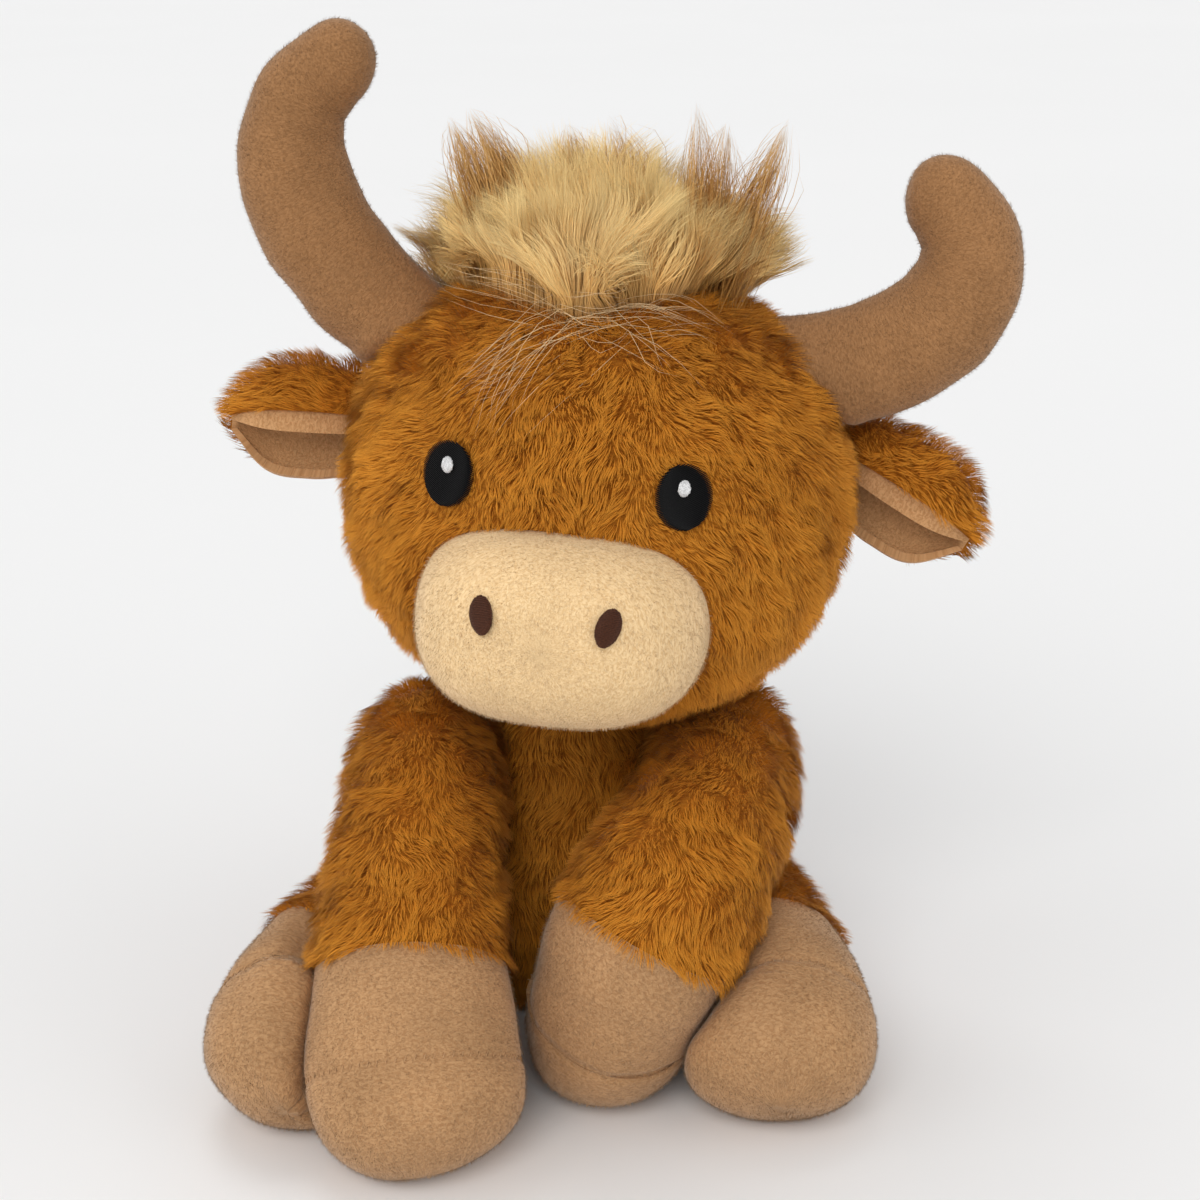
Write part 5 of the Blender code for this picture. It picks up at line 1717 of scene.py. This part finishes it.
def ear_sheet(pivot, aim, share, edge_share, depth_share, length_share, first_turn, last_turn):
    """Points of the folded ear at a share of its outline: rows from root to tip, columns round it."""
    aim = unit(np.array(aim))
    across = unit(np.cross([0.0, 0.0, 1.0], aim))
    across *= np.sign(across[1])
    up = unit(np.cross(across, aim))
    up *= np.sign(up[2])
    along = np.linspace(-EAR_SUNK / EAR_LENGTH, 1, EAR_ROWS)
    sizes = smooth_between(np.maximum(along, 0), EAR_STATION_SHARES, EAR_OUTLINE_SHARES)
    inside = np.minimum(along, 0) * EAR_LENGTH / (EAR_HALF_HEIGHT * EAR_ROOT_SHARE)
    sizes = sizes * np.sqrt(1 - inside**2)
    turns = np.linspace(first_turn, last_turn, EAR_COLUMNS)
    share = np.interp(turns, (EAR_BARE_TURN, EAR_RIM_TURN), (share, edge_share))
    middle = np.array(pivot) + aim * (EAR_LENGTH * along * length_share)[:, None]
    rise = (EAR_HALF_HEIGHT * sizes)[:, None] * share * np.cos(turns)
    back = (EAR_CUP_DEPTH * sizes)[:, None] * share * depth_share * np.sin(turns)
    points = middle[:, None] + up * rise[..., None] + across * back[..., None]
    return points @ HEAD_TURN.T


def leaf(name, outer, inner, material):
    """A closed cloth with two faces and a rim, from two layers of points."""
    rows, columns = outer.shape[:2]
    points = np.concatenate([outer.reshape(-1, 3), inner.reshape(-1, 3)])
    layer = rows * columns
    faces, uvs = [], []

    def at(row, column, side):
        return side * layer + row * columns + column

    def add(*corners):
        faces.append(corners)
        for corner in corners:
            row, column = divmod(corner % layer, columns)
            uvs.append((column * EAR_GIRTH / columns, row * EAR_LENGTH / rows))

    for row in range(rows - 1):
        for column in range(columns - 1):
            a, b, c, d = (row, column), (row, column + 1), (row + 1, column + 1), (row + 1, column)
            add(at(*a, 0), at(*b, 0), at(*c, 0), at(*d, 0))
            add(at(*a, 1), at(*d, 1), at(*c, 1), at(*b, 1))
        add(at(row, 0, 0), at(row + 1, 0, 0), at(row + 1, 0, 1), at(row, 0, 1))
        last = columns - 1
        add(at(row, last, 0), at(row, last, 1), at(row + 1, last, 1), at(row + 1, last, 0))
    for column in range(columns - 1):
        add(at(0, column, 0), at(0, column, 1), at(0, column + 1, 1), at(0, column + 1, 0))
        top = rows - 1
        add(at(top, column, 0), at(top, column + 1, 0), at(top, column + 1, 1), at(top, column, 1))
    return new_mesh(name, points, faces, uvs, material)


class Sheet(Net):
    """A net that is open round its columns, such as an ear. Its first and last columns aren't neighbours."""

    def __init__(self, points, stations, outward_from):
        super().__init__(points, stations)
        self.around = unit(np.gradient(points, axis=1))
        self.normals = unit(np.cross(self.around, self.along))
        away = (self.normals * (points - outward_from)).sum(-1).mean()
        self.normals *= np.sign(away)

    def before(self, turn):
        """The part of the sheet round its fold up to a turn."""
        kept = int(self.columns * (turn - EAR_FIRST_TURN) / (EAR_PLUSH_LAST_TURN - EAR_FIRST_TURN))
        chosen = Net(self.points[:, :kept], self.stations)
        for part in ("points", "normals", "along", "around"):
            setattr(chosen, part, getattr(self, part)[:, :kept])
        return chosen


# %% Ears
EAR_FILL = 0.3
HEAD_CLEARANCE = 0.001
EAR_DENSITY = 2.6e6
EAR_PILE_LENGTH = 0.0072
EAR_LAYERS = {
    "back": (0.95, 0.95, 1.0, 0.97, EAR_FIRST_TURN, EAR_PLUSH_LAST_TURN),
    "back_inside": (0.87, 0.87, 1.0, 0.95, EAR_FIRST_TURN, EAR_PLUSH_LAST_TURN),
    "lining_back": (0.86, 0.95, 1.0, 0.96, EAR_LINING_FIRST_TURN, EAR_LAST_TURN),
    "lining": (0.78, 0.84, 0.45, 0.92, EAR_LINING_FIRST_TURN, EAR_LAST_TURN),
}

for number, (ear, aim) in enumerate(EAR_AIMS.items()):
    rng = np.random.default_rng(90 + number)
    pivot = joint_places[f"{ear}_flap"]
    layers = {layer: ear_sheet((0, 0, 0), aim, *sizes) + pivot for layer, sizes in EAR_LAYERS.items()}
    plush = leaf(f"{ear}_plush", layers["back"], layers["back_inside"], PLUSH_BACKING)
    lining = leaf(f"{ear}_velvet", layers["lining_back"], layers["lining"], EAR_VELVET_PAINTED_LIGHT)
    dress(plush, ear, "golden_plush", f"{ear}_back", fill=EAR_FILL)
    dress(lining, ear, "tan_velvet", f"{ear}_lining", fill=EAR_FILL)
    stations = np.linspace(-EAR_SUNK, EAR_LENGTH, EAR_ROWS)
    middle = layers["back"].mean(1, keepdims=True)
    back = Sheet(layers["back"], stations, middle)
    inside = Sheet(layers["lining"], stations, middle)
    inside.normals = -inside.normals
    pile_roots = scatter(back.before(EAR_BARE_TURN), EAR_DENSITY, rng, is_open=True)
    free_roots = pile_roots.where(clearance(head_tree, pile_roots.points) > HEAD_CLEARANCE)
    coat(f"{ear}_pile", None, ear, EAR_DENSITY, rng, along_limb, length=EAR_PILE_LENGTH, roots=free_roots)
    lining_roots = scatter(inside, NAP_DENSITY, rng, is_open=True)
    nap(f"{ear}_nap", None, ear, EAR_NAP_PAINTED_LIGHT, "tan_velvet", rng, along_limb, roots=lining_roots)
print("ears made")

# %% [markdown]
# ## Tail
#
# The tail can't be seen in the photograph. Such toys have a plush strap with a tuft of the long hair, and
# here it is as short as the solid model makes it. Its hair runs down and spreads over the floor behind the
# seat.

# %% Tail
TAIL_ARCH = 0.018
TAIL_REACH = 0.038
TAIL_DROP_SHARE = 0.50
TAIL_COLUMNS = 28
TAIL_STEP = 0.0014
TAIL_TUFT_HAIRS = 2600
TAIL_TUFT_LENGTH = 0.030
TAIL_TUFT_ROOT = 0.0045
TAIL_SINK = -0.0018
TAIL_CLOTH = 0.0008
TAIL_SMOOTHING = (1.0, 2.0)
TAIL_FILL = 0.6
TAIL_PILE_LENGTH = 0.006
TUFT_FLOOR = 0.0012
TUFT_SUNK = 0.002
TUFT_SWAY = 0.55
TUFT_SETTLED = 0.30
TUFT_SETTLING = np.array([0.0, 0.35, -0.15])
TUFT_LENGTH_SHARES = (0.6, 1.0)
TUFT_LOCK = (0.004, 0.5)
TUFT_STRAY = 0.42
TUFT_LOCK_TONE = 0.12
TUFT_HAIR_TONE = 0.10

root = joint_places["tail_lift"]
arch = root + np.array([0.0, TAIL_ARCH, 0.0])
fall = root + np.array([0.0, TAIL_REACH, -root[2] * TAIL_DROP_SHARE])
line = [root, arch, fall]
length = line_length(line)
tail_tree = tree_of("tail")
rng = np.random.default_rng(95)
marks = np.arange(0, length - TAIL_STEP, TAIL_STEP)
net = limb_net(line, SIDEWAYS, tail_tree, marks, marks[-1], 0, TAIL_COLUMNS, TAIL_SMOOTHING)
net = net.lifted(TAIL_SINK)
strap = sheath("tail_strap", net, net.lifted(-TAIL_CLOTH), PLUSH_BACKING, closed_last=True)
dress(strap, "tail", "golden_plush", "tail", fill=TAIL_FILL)
coat("tail_pile", net, "tail", SLEEVE_DENSITY, rng, along_limb, length=TAIL_PILE_LENGTH)
count = int(TAIL_TUFT_HAIRS * HAIR_SHARE)
ahead = unit(fall - arch)
level = rng.normal(0, TUFT_STRAY, (count, 3))
start = fall - ahead * TUFT_SUNK + unit(level) * (TAIL_TUFT_ROOT * rng.random((count, 1)) ** 0.5)
sway = unit(ahead + level * TUFT_SWAY)
settle = unit(ahead + level * TUFT_SETTLED + TUFT_SETTLING)
lengths = TAIL_TUFT_LENGTH * rng.uniform(*TUFT_LENGTH_SHARES, (count, 1))
paths = [start]
for step in range(FORELOCK_STEPS - 1):
    share = step / (FORELOCK_STEPS - 2)
    paths.append(paths[-1] + unit(sway * (1 - share) + settle * share) * lengths / (FORELOCK_STEPS - 1))
paths = np.stack(paths, 1)
paths[..., 2] = np.maximum(paths[..., 2], TUFT_FLOOR * (1 + rng.random((count, 1))))
paths, locks = gathered(paths, *TUFT_LOCK, rng)
tones = 0.5 + rng.normal(0, TUFT_LOCK_TONE, locks.max() + 1)[locks]
tones += rng.normal(0, TUFT_HAIR_TONE, count)
blades(
    "tail_tuft_hair",
    paths,
    hair_widths(FORELOCK_WIDTH, count, rng),
    unit(level),
    tones,
    HAIR_PILE,
    "tail",
    "blond_hair",
    ("tail_tuft",),
)

# %% [markdown]
# ## Finishing
#
# The stuffing and the pellet bag stay inside as they are in the solid model, in white fibre and plain cotton.

# %% Inner pieces
FIBRE = cloth_material("stuffing_fibre", (0.62, 0.62, 0.60), (0.88, 0.88, 0.86), 0.05, 0.8, 1.0)
COTTON = cloth_material("bag_cotton", (0.5, 0.46, 0.4), (0.7, 0.66, 0.58), 0.05, 0.5, 0.9)
for name in nodes:
    if name.endswith("_stuffing"):
        recoloured(name, FIBRE)
recoloured("pellet_bag", COTTON)
